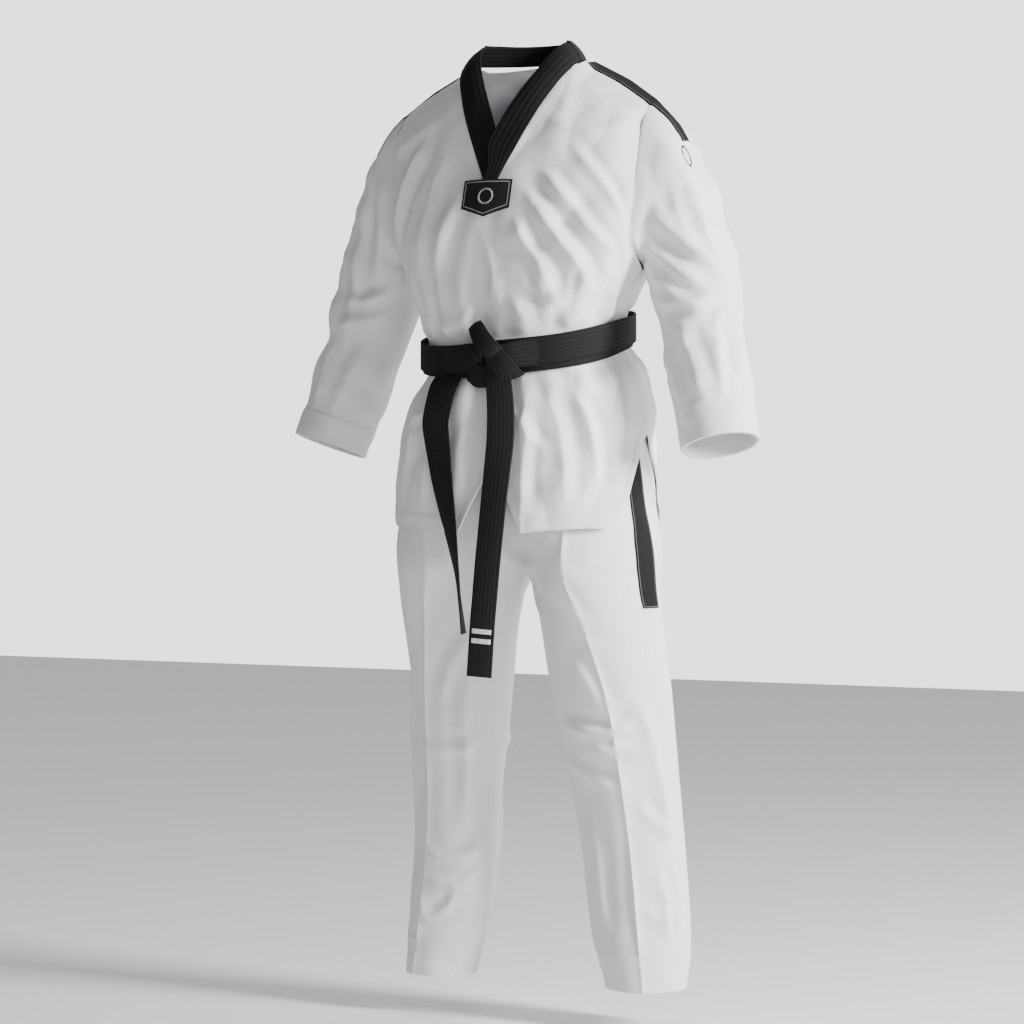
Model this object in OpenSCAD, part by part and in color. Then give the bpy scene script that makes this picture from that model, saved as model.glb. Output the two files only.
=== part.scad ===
// Martial arts training uniform: a V-neck pullover jacket, wide trousers and a
// knotted belt, hung as if worn. Millimetres, +Z up, the wearer faces -Y and
// the wearer's left side is +X. The origin is the centre of the trouser
// waistband's top edge.

/* [Cloth] */
// Thickness given to every layer of cloth
cloth = 3; // [2.5:0.5:3.5]
// Gap left between neighbouring cloth pieces
seam = 0.6; // [0.5:0.1:1]

/* [Trousers] */
// Half width of the waistband
waist_half_w = 143; // [140:1:144]
// Half depth of the waistband
waist_half_d = 108; // [105:1:109]
// Height of the waistband
waistband_h = 42; // [38:1:44]
// Length from the waist to the trouser hem
leg_length = 1000; // [960:5:1040]
// Sideways distance of the ankle from the middle
ankle_side = 180; // [174:1:186]
// Distance of the ankle behind the waist's centre
ankle_back = 44; // [35:1:50]
// Height of the stitched trouser cuff
leg_cuff_h = 56; // [45:1:65]

/* [Jacket] */
// Height of the neck point above the waist
neck_z = 425; // [420:1:432]
// Half width of the neck opening at the shoulder seams
neck_half = 100; // [96:1:104]
// Height of the shoulder point above the waist
shoulder_z = 357; // [352:1:362]
// Half distance between the two shoulder points
shoulder_half = 214; // [211:1:216]
// Height of the armpit above the waist
armpit_z = 114; // [110:1:120]
// Height of the bottom of the V neck
vee_z = 232; // [225:1:240]
// Depth of the jacket hem below the waist
hem_drop = 300; // [285:1:302]
// Height of the front slit, from the hem up
slit_h = 111; // [90:1:120]
// Width of the black collar band
collar_w = 45; // [40:1:48]

/* [Sleeves] */
// Half width of the sleeve at the cuff
cuff_r = 58; // [54:1:60]
// Height of the stitched sleeve cuff
cuff_h = 44; // [36:1:50]

/* [Belt] */
// Width of the belt
belt_w = 42; // [38:1:44]
// Thickness of one layer of the belt
belt_t = 3.5; // [3:0.5:4]

/* [Hidden] */

white = "#f2f3f5";
shade = "#dfe1e6";
black = "#151618";
grey = "#8d9096";
steel = "#b8bbc0";

step = 0.02;                 // spacing for the slope of a surface
round_power = 2.4;           // squareness of the body's cross-section
side_gap = 0.7;              // degrees left open at each side seam
belt_level = -2;             // height of the belt's middle line at the sides
belt_fall = 0.2;             // rise of the belt line per millimetre towards the back
belt_roll = 0.06;            // rise of the belt line per millimetre towards the left
vent_z = -150;               // height of the top of the side vents
slit_half_angle = 15;        // half of the slit's spread, as an angle of the section
slit_side = 10;              // sideways place of the slit
neck_angle = asin(neck_half / shoulder_half); // angle of the section at the neck point
toe_out = 20;                // angle that each trouser crease turns outwards
leg_power = 1.75;            // squareness of the trouser leg's cross-section
hip_hinge_x = 150;           // sideways place of the leg hinge
spread_max = 25;             // largest outward swing of a leg, in degrees
hip_cut_z = -346;            // height of the cut between the hips and the legs
cuff_seam_z = -leg_length + leg_cuff_h;
hem_z = -hem_drop;
slit_z = hem_z + slit_h;

// ---- small helpers ------------------------------------------------------

function unit(v) = v / norm(v);
function mix(a, b, t) = a + (b - a) * t;
function ease(t) = let (c = min(max(t, 0), 1)) c * c * (3 - 2 * c);

// Depth of a rounded section at sideways place x, for half width a, half depth b.
function bulge(x, a, b) =
    let (k = min(abs(x) / a, 1)) b * pow(1 - pow(k, round_power), 1 / round_power);

// Outward normal of a surface f(u, v), where u runs anticlockwise seen from
// above and v runs upwards.
function normal_of(f, u, v) =
    let (u0 = max(u - step, 0), u1 = min(u + step, 1),
         v0 = max(v - step, 0), v1 = min(v + step, 1))
    unit(cross(f(u1, v) - f(u0, v), f(u, v1) - f(u, v0)));

// A closed sheet from a grid of outer points and a grid of inner points.
module sheet(outer, inner, wrap = false) {
    rows = len(outer);
    cols = len(outer[0]);
    n = rows * cols;
    last = wrap ? cols : cols - 1;
    function o(j, i) = j * cols + i % cols;
    function q(j, i) = n + o(j, i);
    function quad(a, b, c, d) = [[a, c, b], [a, d, c]];
    faces = [
        for (j = [0:rows - 2], i = [0:last - 1]) each concat(
            quad(o(j, i), o(j, i + 1), o(j + 1, i + 1), o(j + 1, i)),
            quad(q(j, i), q(j + 1, i), q(j + 1, i + 1), q(j, i + 1))),
        for (i = [0:last - 1]) each concat(
            quad(q(0, i), q(0, i + 1), o(0, i + 1), o(0, i)),
            quad(o(rows - 1, i), o(rows - 1, i + 1), q(rows - 1, i + 1), q(rows - 1, i))),
        if (!wrap) for (j = [0:rows - 2]) each concat(
            quad(q(j, 0), o(j, 0), o(j + 1, 0), q(j + 1, 0)),
            quad(o(j, cols - 1), q(j, cols - 1), q(j + 1, cols - 1), o(j + 1, cols - 1)))
    ];
    polyhedron(
        points = concat([for (row = outer) each row], [for (row = inner) each row]),
        faces = faces, convexity = 8);
}

// Cloth laid on the surface f(u, v): its outer face is "lift" proud of the
// surface and its inner face is "thick" below that.
module cloth_on(f, nu, nv, thick = cloth, lift = 0, wrap = false) {
    cols = wrap ? nu - 1 : nu;
    outer = [for (j = [0:nv]) [for (i = [0:cols])
        f(i / nu, j / nv) + lift * normal_of(f, i / nu, j / nv)]];
    inner = [for (j = [0:nv]) [for (i = [0:cols])
        f(i / nu, j / nv) + (lift - thick) * normal_of(f, i / nu, j / nv)]];
    sheet(outer, inner, wrap);
}

// The same part on the other side of the body.
module on_side(side) {
    if (side > 0) children();
    else mirror([1, 0, 0]) children();
}

// ---- jacket surface -----------------------------------------------------

// Half width below the armpit, by height.
side_w = [
    [hem_z - 10, 214], [-220, 209], [-173, 206], [-127, 202], [-80, 190], [-56, 181],
    [-44, 168], [-32, 154], [24, 154], [36, 161], [59, 169], [80, 182], [armpit_z, 202]
];
// Half width of the side seam, then of the armhole's edge, by height.
jacket_edge = concat(side_w, [[240, 212], [shoulder_z, shoulder_half], [neck_z + 20, shoulder_half]]);
// Half width of the rounded section, by height.
jacket_half_w = concat(side_w, [
    [150, 218], [240, 231], [320, 226], [shoulder_z, shoulder_half],
    [392, 164], [neck_z, neck_half], [neck_z + 20, 76]
]);
// Half depth of the rounded section, by height.
jacket_half_d = [
    [hem_z - 10, 154], [-220, 152], [-127, 146], [-80, 139], [-56, 133], [-44, 127], [-32, 119],
    [24, 119], [36, 127], [80, 140], [150, 146], [177, 143], [236, 130], [298, 116],
    [330, 108], [shoulder_z, 98], [392, 84], [neck_z, 66], [neck_z + 20, 60]
];
// Place of the section's middle, front to back, by height.
jacket_mid_y = [[hem_z, -2], [0, -4], [150, -1], [236, 3], [298, 6], [360, 10], [neck_z, 16]];
// Share of the belt line's slope that the jacket follows, by height.
belt_share = [[-250, 0], [-60, 1], [36, 1], [112, 0]];

function follow_belt(p) =
    let (s = lookup(p.z, belt_share)) [p.x, p.y, p.z + s * (belt_fall * p.y + belt_roll * p.x)];

// A point of the jacket at section angle phi (0 in the middle, +90 at the left
// side) and height z. Facing is -1 at the front and +1 at the back.
function jacket_point(phi, z, facing) =
    let (x = sin(phi) * lookup(z, jacket_edge),
         y = lookup(z, jacket_mid_y)
             + facing * bulge(x, lookup(z, jacket_half_w), lookup(z, jacket_half_d)))
    follow_belt([x, y, z]);

// Height of the shoulder seam at sideways place x.
function shoulder_seam_z(x) =
    lookup(x, [[neck_half, neck_z], [164, 392], [shoulder_half, shoulder_z]]);
// Height of the side of the hem, rounded up to the vent, by section angle.
function hem_at(phi) =
    hem_z + 14 * ease(abs(phi) / 50) + (vent_z - hem_z - 14) * pow(ease((abs(phi) - 52) / 38), 1.6);
function front_bottom(phi) =
    abs(phi) < slit_half_angle ? mix(slit_z, hem_z, abs(phi) / slit_half_angle) : hem_at(phi);
function front_top(phi) =
    abs(phi) < neck_angle
        ? mix(vee_z, neck_z - 3, abs(phi) / neck_angle)
        : shoulder_seam_z(sin(abs(phi)) * shoulder_half) - 0.2;
function back_top(phi) =
    abs(phi) < neck_angle
        ? neck_z + 4 - 7 * ease(abs(phi) / neck_angle)
        : shoulder_seam_z(sin(abs(phi)) * shoulder_half) - 0.2;

side_angle = 90 - side_gap;
// Heights of the rows of points round the belt; the rows below them reach down to
// the hem, and the rows above them up to the neck and shoulders, closer together
// near the top.
waist_rows = [-110, -80, -58, -44, -31, -4, 23, 36, 58, 84, 114, 150, 190];
rows_below = 4;
rows_above = 7;
jacket_rows = rows_below + len(waist_rows) - 1 + rows_above;
function row_z(v, low, high) =
    let (n = len(waist_rows) - 1, i = v * jacket_rows - rows_below, k = min(floor(i), n - 1))
    i < 0 ? mix(low, waist_rows[0], 1 + i / rows_below)
    : i <= n ? mix(waist_rows[k], waist_rows[k + 1], i - k)
    : mix(waist_rows[n], high, 1 - pow(max(1 - (i - n) / rows_above, 0), 1.7));
function across_front(u) = mix(-side_angle, side_angle, u);
function across_back(u) = mix(side_angle, -side_angle, u);

jacket_front_face = function (u, v)
    let (phi = across_front(u), z = row_z(v, front_bottom(phi), front_top(phi)),
         p = jacket_point(phi, z, -1))
    [p.x + slit_side * pow(cos(phi), 4) * ease((-60 - z) / 80), p.y, p.z];
jacket_back_face = function (u, v)
    let (phi = across_back(u))
    jacket_point(phi, row_z(v, hem_at(phi), back_top(phi)), 1);

module jacket_front() color(white) cloth_on(jacket_front_face, 24, jacket_rows);
module jacket_back() color(white) cloth_on(jacket_back_face, 24, jacket_rows);

// Lining piece inside the top of the back, below the collar.
module back_yoke_facing() {
    face = function (u, v)
        let (phi = mix(46, -46, u)) jacket_point(phi, mix(318, back_top(phi) - 6, v), 1);
    color(shade) cloth_on(face, 12, 4, 1.2, -cloth - 1.6);
}

// Doubled cloth sewn inside the hem.
facing_h = 22;
module front_hem_facing(side) {
    face = function (u, v)
        let (from = side > 0 ? slit_half_angle + 1 : -82, to = side > 0 ? 82 : -slit_half_angle - 1,
             phi = mix(from, to, u), z = front_bottom(phi) + 2 + facing_h * v,
             p = jacket_point(phi, z, -1))
        [p.x + slit_side * pow(cos(phi), 4) * ease((-60 - z) / 80), p.y, p.z];
    color(shade) cloth_on(face, 12, 1, 1.2, -cloth - 1);
}
module back_hem_facing() {
    face = function (u, v)
        let (phi = mix(82, -82, u)) jacket_point(phi, hem_at(phi) + 2 + facing_h * v, 1);
    color(shade) cloth_on(face, 20, 1, 1.2, -cloth - 1);
}

// ---- collar, patch and shoulder tapes -----------------------------------

collar_t = 3;
collar_lift = collar_t + 0.4;
// Outer edge of the lapel, t from the patch (0) to the neck point (1).
function lapel_seam(t) =
    jacket_point(mix(4, neck_angle, t), mix(vee_z + 6, neck_z - 4, t), -1) + [0, -collar_lift, 0.6];
// Inner edge: flat on the chest at the patch, standing up at the neck.
function lapel_edge(t) =
    let (s = lapel_seam(t), rise = ease((t - 0.45) / 0.55),
         flat = [-0.93, 0.01, 0.36] * collar_w, stand = [-0.66, 0.22, 0.72] * collar_w)
    s + mix(flat, stand, rise) * mix(0.5, 1, ease(t / 0.25));
lapel_face = function (u, v) mix(lapel_seam(v), lapel_edge(v), 1 - u);

module collar_left_lapel()
    color(black) cloth_on(function (u, v) lapel_face(u, v) + [0, -collar_t - 2.6, 0] * (1 - ease((v - 0.55) / 0.35)),
        4, 14, collar_t);
module collar_right_lapel()
    color(black) mirror([1, 0, 0]) cloth_on(lapel_face, 4, 14, collar_t);

// The band round the back of the neck, from one neck point to the other.
function back_band_low(t) =
    let (a = mix(2, 178, t), p = lapel_seam(1))
    [p.x * cos(a), p.y + 92 * sin(a), p.z + 5 * sin(a) + 2];
function back_band_high(t) =
    let (a = mix(2, 178, t), p = lapel_edge(1))
    [p.x * cos(a), p.y + 74 * sin(a), p.z + 2 + 3 * sin(a)];
module collar_back_band() {
    face = function (u, v) mix(back_band_low(u), back_band_high(u), v);
    color(black) cloth_on(face, 16, 2, collar_t);
}

// Shield-shaped patch that covers the foot of the V.
patch_w = 80;
patch_h = 45;
patch_point = 14;
patch_t = 2;
chest_tilt = 16;
module on_chest(depth)
    translate([0, jacket_point(0, vee_z, -1).y - depth, vee_z + 4])
        rotate([90 - chest_tilt, 0, 0]) children();
module neck_patch() color(black) on_chest(11) linear_extrude(patch_t)
    polygon([[-patch_w / 2, 0], [-patch_w / 2 - 1, -patch_h], [0, -patch_h - patch_point],
             [patch_w / 2 + 1, -patch_h], [patch_w / 2, 0]]);
// Plain stitched ring on the patch.
module neck_patch_emblem() color(grey) on_chest(11) translate([0, -27, patch_t])
    difference() {
        cylinder(h = 1, r = 13, $fn = 48);
        translate([0, 0, -1]) cylinder(h = 3, r = 10, $fn = 48);
    }

// Tape over the shoulder seam, from the collar to the armhole.
tape_w = 24;
tape_t = 1.6;
function shoulder_ridge(t) =
    let (x = mix(neck_half + 6, shoulder_half - 2, t), z = shoulder_seam_z(x))
    [x, lookup(z, jacket_mid_y), z];
module shoulder_tape(side) {
    face = function (u, v)
        let (p = shoulder_ridge(v), k = 2 * u - 1) p + [0, tape_w / 2 * k, 3 - 1.5 * k * k];
    color(black) on_side(side) cloth_on(face, 4, 8, tape_t);
}

// ---- sleeves ------------------------------------------------------------

// Middle of the sleeve from the armhole (0) to the cuff's end (1).
sleeve_middle = [[0, [214, 10, 236]], [0.25, [250, 20, 150]], [0.5, [277, 14, 56]],
                 [0.75, [307, -10, -60]], [1, [339, -36, -174]]];
function along(table, t) = [for (k = [0:2]) lookup(t, [for (row = table) [row[0], row[1][k]]])];
function sleeve_mid(t) =
    let (d = 0.06) (along(sleeve_middle, max(t - d, 0)) + along(sleeve_middle, t)
                    + along(sleeve_middle, min(t + d, 1))) / 3;
function sleeve_way(t) = unit(sleeve_mid(min(t + 0.08, 1)) - sleeve_mid(max(t - 0.08, 0)));
sleeve_r = [[0, 80], [0.25, 70], [0.5, 66], [0.8, 63], [1, cuff_r]];

armhole_gap = 3.5;
// The armhole edge, turned by a: 0 at the shoulder, 90 at the back, 270 at the front.
function armhole_point(a) =
    let (z = mix(armpit_z + 2, shoulder_z - 2, (1 + cos(a)) / 2), x = lookup(z, jacket_edge))
    [x + armhole_gap, lookup(z, jacket_mid_y)
        + sign(sin(a)) * bulge(x, lookup(z, jacket_half_w), lookup(z, jacket_half_d)), z];
function sleeve_ring_point(a, t) =
    let (c = sleeve_mid(t), w = sleeve_way(t), back = unit([0, 1, 0] - w * w.y),
         out = cross(w, back), r = lookup(t, sleeve_r))
    c + r * (cos(a) * (out.x < 0 ? -out : out) + sin(a) * back);
// The way the sleeve leaves the armhole: down under the arm, out and down at the
// shoulder, straight out at the front and back.
function sleeve_start(a) =
    unit(mix([0.35, 0, -0.94], [0.75, 0, -0.66], (1 + cos(a)) / 2) + abs(sin(a)) * [0.7, 0, 0.3]);
arm_clear = 4;
cap_end = 0.32;              // where the shaping of the sleeve's head ends
function hermite(a, da, b, db, s) =
    (2 * s * s * s - 3 * s * s + 1) * a + (s * s * s - 2 * s * s + s) * da
    + (3 * s * s - 2 * s * s * s) * b + (s * s * s - s * s) * db;
function sleeve_point(a, t) =
    let (from = armhole_point(a), to = sleeve_ring_point(a, cap_end), reach = norm(to - from),
         p = t < cap_end
             ? hermite(from, reach * sleeve_start(a), to, reach * sleeve_way(cap_end), t / cap_end)
             : sleeve_ring_point(a, t),
         side = lookup(p.z, jacket_edge) + mix(armhole_gap, arm_clear, ease(t / 0.1)))
    [max(p.x, side), p.y, p.z];

cuff_t = 1 - cuff_h / 430;   // where the cuff's seam crosses the sleeve
sleeve_rows = 14;
sleeve_row = (cuff_t - 0.003) / sleeve_rows;
gusset_rows = 6;
gusset_half = 40;            // half of the gusset's spread round the armhole, in degrees
function gusset_open(t) = mix(8, gusset_half, ease(1 - t / (gusset_rows * sleeve_row)));
sleeve_cuff_face = function (u, v) sleeve_point(360 * (1 - u), mix(1, cuff_t, v));

// The sleeve tube, cut open under the arm where the gusset is let in.
sleeve_body_face = function (u, v)
    let (t = sleeve_rows * sleeve_row * (1 - v), half = gusset_open(t))
    sleeve_point(mix(540 - half - 0.4, 180 + half + 0.4, u), t);
sleeve_gusset_face = function (u, v)
    let (t = gusset_rows * sleeve_row * (1 - v), half = gusset_open(t) - 4.5)
    sleeve_point(mix(180 + half, 180 - half, u), t);

module sleeve(side) color(white) on_side(side) cloth_on(sleeve_body_face, 22, sleeve_rows);
module sleeve_gusset(side) color(shade) on_side(side) cloth_on(sleeve_gusset_face, 5, gusset_rows);
module sleeve_cuff(side) color(white) on_side(side) cloth_on(sleeve_cuff_face, 24, 2, wrap = true);
module sleeve_tape(side) {
    face = function (u, v)
        let (t = sleeve_row * 2 * (1 - v) + 0.004, a = mix(10, -10, u)) sleeve_point(a, t);
    color(black) on_side(side) cloth_on(face, 2, 4, tape_t, tape_t + 2.6);
}
// Small round badge on the left upper arm.
module left_sleeve_badge() {
    face = function (u, v) sleeve_point(360 * (1 - u), 1 - v);
    turn = 335;
    down = 0.14;
    p = sleeve_point(turn, down);
    n = normal_of(face, 1 - turn / 360, 1 - down);
    color(black) translate(p + n * 2.2) rotate([0, acos(n.z), atan2(n.y, n.x)]) difference() {
        cylinder(h = 1.2, r = 11, $fn = 48);
        translate([0, 0, -1]) cylinder(h = 4, r = 8, $fn = 48);
    }
}

// ---- trousers -----------------------------------------------------------

// Half width and half depth of the hips, by height.
hip_half_w = [[hip_cut_z - 20, 220], [-345, 218], [-300, 210], [-260, 204], [-220, 199], [-173, 192],
              [-127, 180], [-80, 158], [-60, 148], [-waistband_h, waist_half_w], [0, waist_half_w]];
hip_half_d = [[hip_cut_z - 20, 134], [-300, 137], [-220, 136], [-173, 131], [-127, 125],
              [-80, 114], [-60, 110], [-waistband_h, waist_half_d], [0, waist_half_d]];
hip_mid_y = [[-345, 0], [-173, -1], [0, -4]];
function hip_point(phi, z, facing) =
    let (a = lookup(z, hip_half_w), x = a * sin(phi))
    [x, lookup(z, hip_mid_y) + facing * bulge(x, a, lookup(z, hip_half_d)), z];

// Lower edge of the hips: level as far as the leg hinge, then rising outwards so
// that the leg can swing.
function hip_edge_z(x) = hip_cut_z + max(abs(x) - hip_hinge_x, 0) * tan(spread_max) * 1.15;
hip_front_face = function (u, v)
    let (phi = mix(seam / 4, side_angle, u), x = sin(phi) * 218)
    hip_point(phi, mix(hip_edge_z(x), -waistband_h - seam, v), -1);
hip_back_face = function (u, v)
    let (phi = mix(side_angle, seam / 4, u), x = sin(phi) * 218)
    hip_point(phi, mix(hip_edge_z(x), -waistband_h - seam, v), 1);
module trouser_front_top(side) color(white) on_side(side) cloth_on(hip_front_face, 12, 10);
module trouser_back_top(side) color(white) on_side(side) cloth_on(hip_back_face, 12, 10);

// Middle of the leg, by height: sideways, then front to back.
leg_side = [[-leg_length, ankle_side], [-917, 168], [-778, 153], [-685, 144], [-545, 131],
            [-406, 118], [-350, 111]];
leg_back = [[-leg_length, ankle_back], [-871, 52], [-778, 54], [-685, 44], [-545, 22], [-406, 2], [-350, 0]];
// Half width across the leg and half depth from crease to crease, by height.
leg_half_w = [[-leg_length, 62], [-970, 68], [-930, 77], [-871, 79], [-778, 80], [-685, 84],
              [-545, 93], [-406, 99], [-350, 106]];
leg_half_d = [[-leg_length, 56], [-930, 60], [-778, 62], [-685, 66], [-545, 76], [-440, 94], [-350, 128]];
leg_turn = [[-560, toe_out], [-350, 0]];
// A point of the left leg, turned by a: 0 at the outer side, 90 at the back.
function leg_point(a, z) =
    let (w = pow(pow(abs(cos(a)), leg_power) + pow(abs(sin(a)), leg_power), -1 / leg_power),
         x = lookup(z, leg_half_w) * cos(a) * w, y = lookup(z, leg_half_d) * sin(a) * w,
         t = lookup(z, leg_turn))
    [lookup(z, leg_side) + x * cos(t) - y * sin(t), lookup(z, leg_back) + x * sin(t) + y * cos(t), z];
leg_top_z = hip_cut_z - 2;
function leg_face(from, to, low, high) = function (u, v)
    leg_point(mix(from, to, u), mix(low, high, v));

module trouser_front_leg(side)
    color(white) on_side(side) cloth_on(leg_face(180 + side_gap, 360 - side_gap, cuff_seam_z + seam, leg_top_z), 14, 12);
module trouser_back_leg(side)
    color(white) on_side(side) cloth_on(leg_face(side_gap, 180 - side_gap, cuff_seam_z + seam, leg_top_z), 14, 12);
module leg_cuff(side)
    color(white) on_side(side) cloth_on(leg_face(0, 360, -leg_length, cuff_seam_z), 28, 3, wrap = true);

// Long diamond of cloth that closes the crotch between the two legs.
module crotch_gusset() {
    face = function (u, v)
        let (y = mix(-128, 128, v), x = mix(-1, 1, u) * mix(7, 30, pow(sin(180 * v), 0.8)))
        [x, y, hip_cut_z + 5 + 0.0005 * y * y];
    color(shade) cloth_on(face, 4, 12);
}

// Tape down the outer side of the hips and thighs.
module hip_tape(side) {
    face = function (u, v)
        let (phi = mix(69, 81, u)) hip_point(phi, mix(hip_edge_z(218 * sin(phi)) + 1, -220, v), -1);
    color(black) on_side(side) cloth_on(face, 3, 5, tape_t, tape_t + 0.4);
}
module leg_tape(side) {
    face = leg_face(328, 342, -412, leg_top_z - 3);
    color(black) on_side(side) cloth_on(face, 3, 5, tape_t, tape_t + 0.4);
}

// ---- waistband, elastic and eyelets -------------------------------------

casing_t = 1.2;
casing_gap = 3.4;
elastic_t = 2;
eyelet_x = 16;
eyelet_z = -21;
eyelet_bore = 3;
eyelet_r = 4.4;
eyelet_flange = 7;
eyelet_panel_w = 64;         // width of the casing's front panel
function waist_point(a, inset, z) =
    [(waist_half_w - inset) * cos(a), -4 + (waist_half_d - inset) * sin(a), z];

// A band of constant section swept round the waist. The section is a closed
// outline of [inset, height] points, anticlockwise seen from the right.
module waist_sweep(section, n = 48) {
    m = len(section);
    points = [for (i = [0:n - 1]) for (p = section) waist_point(360 * i / n, p[0], p[1])];
    faces = [for (i = [0:n - 1], j = [0:m - 1])
        let (a = i * m + j, b = i * m + (j + 1) % m, c = (i + 1) % n * m + (j + 1) % m, d = (i + 1) % n * m + j)
        each [[a, b, c], [a, c, d]]];
    polyhedron(points = points, faces = faces, convexity = 6);
}
casing_depth = 2 * casing_t + casing_gap;
// Folded casing, open along its lower edge, that holds the elastic.
module waist_casing()
    waist_sweep([[0, -waistband_h], [0, 0], [casing_depth, 0], [casing_depth, -waistband_h],
                 [casing_depth - casing_t, -waistband_h], [casing_depth - casing_t, -casing_t],
                 [casing_t, -casing_t], [casing_t, -waistband_h]]);
module front_block(half)
    translate([-half, -waist_half_d - 20, -waistband_h - 5]) cube([2 * half, 60, waistband_h + 10]);
module waistband() color(shade) difference() {
    waist_casing();
    front_block(eyelet_panel_w / 2);
}
// Panel let into the middle of the casing, with the holes for the eyelets.
module waistband_front() color(shade) difference() {
    intersection() {
        waist_casing();
        front_block(eyelet_panel_w / 2 - seam);
    }
    for (x = [-eyelet_x, eyelet_x]) translate([x, -waist_half_d - 10, eyelet_z]) rotate([-90, 0, 0])
        cylinder(h = 9 + casing_t + 0.6, r = eyelet_r + 0.05, $fn = 48);
}
module waist_elastic() color(white)
    waist_sweep([[casing_t + 1.2, -waistband_h + 3], [casing_t + 1.2, -casing_t - 2],
                 [casing_t + 1.2 + elastic_t, -casing_t - 2], [casing_t + 1.2 + elastic_t, -waistband_h + 3]]);
// Two metal eyelets where the drawcord would come out.
module drawcord_eyelets() color(steel) for (x = [-eyelet_x, eyelet_x])
    translate([x, -4 - waist_half_d * sqrt(1 - pow(x / waist_half_w, 2)), eyelet_z]) rotate([90, 0, 0])
        difference() {
            union() {
                translate([0, 0, 0.25]) cylinder(h = 0.9, r = eyelet_flange, $fn = 64);
                translate([0, 0, -1.75]) cylinder(h = 2.4, r = eyelet_r, $fn = 64);
            }
            translate([0, 0, -5]) cylinder(h = 10, r = eyelet_bore, $fn = 64);
        }

// ---- belt ---------------------------------------------------------------

knot_w = 62;
knot_h = 52;
knot_d = 24;
belt_clear = 0.8;
// A point of the belt line, turned by a and pushed out by d, at height h across the belt.
function belt_point(a, d, h) =
    let (hw = lookup(belt_level, jacket_half_w) + d,
         hd = lookup(belt_level, jacket_half_d) + d,
         w = pow(pow(abs(cos(a)), round_power) + pow(abs(sin(a)), round_power), -1 / round_power),
         x = hw * cos(a) * w, y = -4 + hd * sin(a) * w)
    [x, y, belt_level + h + belt_fall * y + belt_roll * x];
module belt_wrap(d, drop) {
    face = function (u, v) belt_point(360 * u, d, (v - 0.5) * belt_w - drop);
    color(black) cloth_on(face, 48, 1, belt_t, wrap = true);
}
inner_out = 5.5 + belt_t + belt_clear;
outer_out = inner_out + belt_t + 0.8;
module belt_inner_wrap() belt_wrap(inner_out, 8);
module belt_outer_wrap() belt_wrap(outer_out, 0);

knot_at = belt_point(270, outer_out + 0.5, -2);
module belt_knot() color(black) translate(knot_at + [0, -knot_d / 2 - 0.5, 0]) rotate([10, 0, 0]) hull() {
    for (x = [-1, 1], z = [-1, 1]) translate([x * (knot_w / 2 - 8), 0, z * (knot_h / 2 - 8)])
        sphere(r = 8, $fn = 20);
    for (x = [-1, 1]) translate([x * (knot_w / 2 - 20), 2 - knot_d / 2 + 6, 0]) sphere(r = 6, $fn = 20);
}

// Middle line of each hanging tail, from the knot down.
tail_right_line = [[-72, -156, -62], [-77, -161, -90], [-80, -163, -130], [-66, -164, -215],
                   [-52, -164, -290], [-42, -163, -365], [-33, -161, -450]];
tail_left_line = [[24, -160, -66], [34, -164, -110], [33, -166, -160], [23, -167, -240],
                  [13, -167, -340], [4, -166, -430], [-3, -164, -514]];
module belt_tail(line) {
    n = len(line) - 1;
    function way(j) = unit(line[min(j + 1, n)] - line[max(j - 1, 0)]);
    function wide(j) = unit(cross([0, 1, 0], way(j)));
    function deep(j) = unit(cross(way(j), wide(j)));
    outer = [for (j = [n:-1:0]) [for (s = [-0.5, 0.5]) line[j] - s * belt_w * wide(j) - deep(j) * belt_t / 2]];
    inner = [for (j = [n:-1:0]) [for (s = [-0.5, 0.5]) line[j] - s * belt_w * wide(j) + deep(j) * belt_t / 2]];
    color(black) sheet(outer, inner);
}
module belt_tail_right() belt_tail(tail_right_line);
module belt_tail_left() belt_tail(tail_left_line);
// Two plain bars stitched near the end of the left tail.
module belt_rank_bars() color(white) for (k = [0, 1]) let (p = mix(tail_left_line[5], tail_left_line[6], 0.42 + 0.2 * k))
    translate(p + [0, -belt_t / 2 - 0.7, 0]) rotate([-2.5, -4, 0]) cube([belt_w - 6, 0.8, 7], center = true);

// ---- nodes --------------------------------------------------------------

waistband();
waistband_front();
waist_elastic();
drawcord_eyelets();
crotch_gusset();
trouser_front_top(1);  // left_trouser_front_top
trouser_back_top(1);  // left_trouser_back_top
trouser_front_top(-1);  // right_trouser_front_top
trouser_back_top(-1);  // right_trouser_back_top
hip_tape(1);  // left_hip_tape
hip_tape(-1);  // right_hip_tape
trouser_front_leg(1);  // left_trouser_front_leg
trouser_back_leg(1);  // left_trouser_back_leg
leg_cuff(1);  // left_leg_cuff
leg_tape(1);  // left_leg_tape
trouser_front_leg(-1);  // right_trouser_front_leg
trouser_back_leg(-1);  // right_trouser_back_leg
leg_cuff(-1);  // right_leg_cuff
leg_tape(-1);  // right_leg_tape
jacket_front();
jacket_back();
back_yoke_facing();
front_hem_facing(1);  // front_hem_facing_left
front_hem_facing(-1);  // front_hem_facing_right
back_hem_facing();
collar_left_lapel();
collar_right_lapel();
collar_back_band();
neck_patch();
neck_patch_emblem();
shoulder_tape(1);  // left_shoulder_tape
shoulder_tape(-1);  // right_shoulder_tape
sleeve(1);  // left_sleeve
sleeve_gusset(1);  // left_sleeve_gusset
sleeve_cuff(1);  // left_sleeve_cuff
sleeve_tape(1);  // left_sleeve_tape
left_sleeve_badge();
sleeve(-1);  // right_sleeve
sleeve_gusset(-1);  // right_sleeve_gusset
sleeve_cuff(-1);  // right_sleeve_cuff
sleeve_tape(-1);  // right_sleeve_tape
belt_inner_wrap();
belt_outer_wrap();
belt_knot();
belt_tail_right();
belt_tail_left();
belt_rank_bars();
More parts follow.
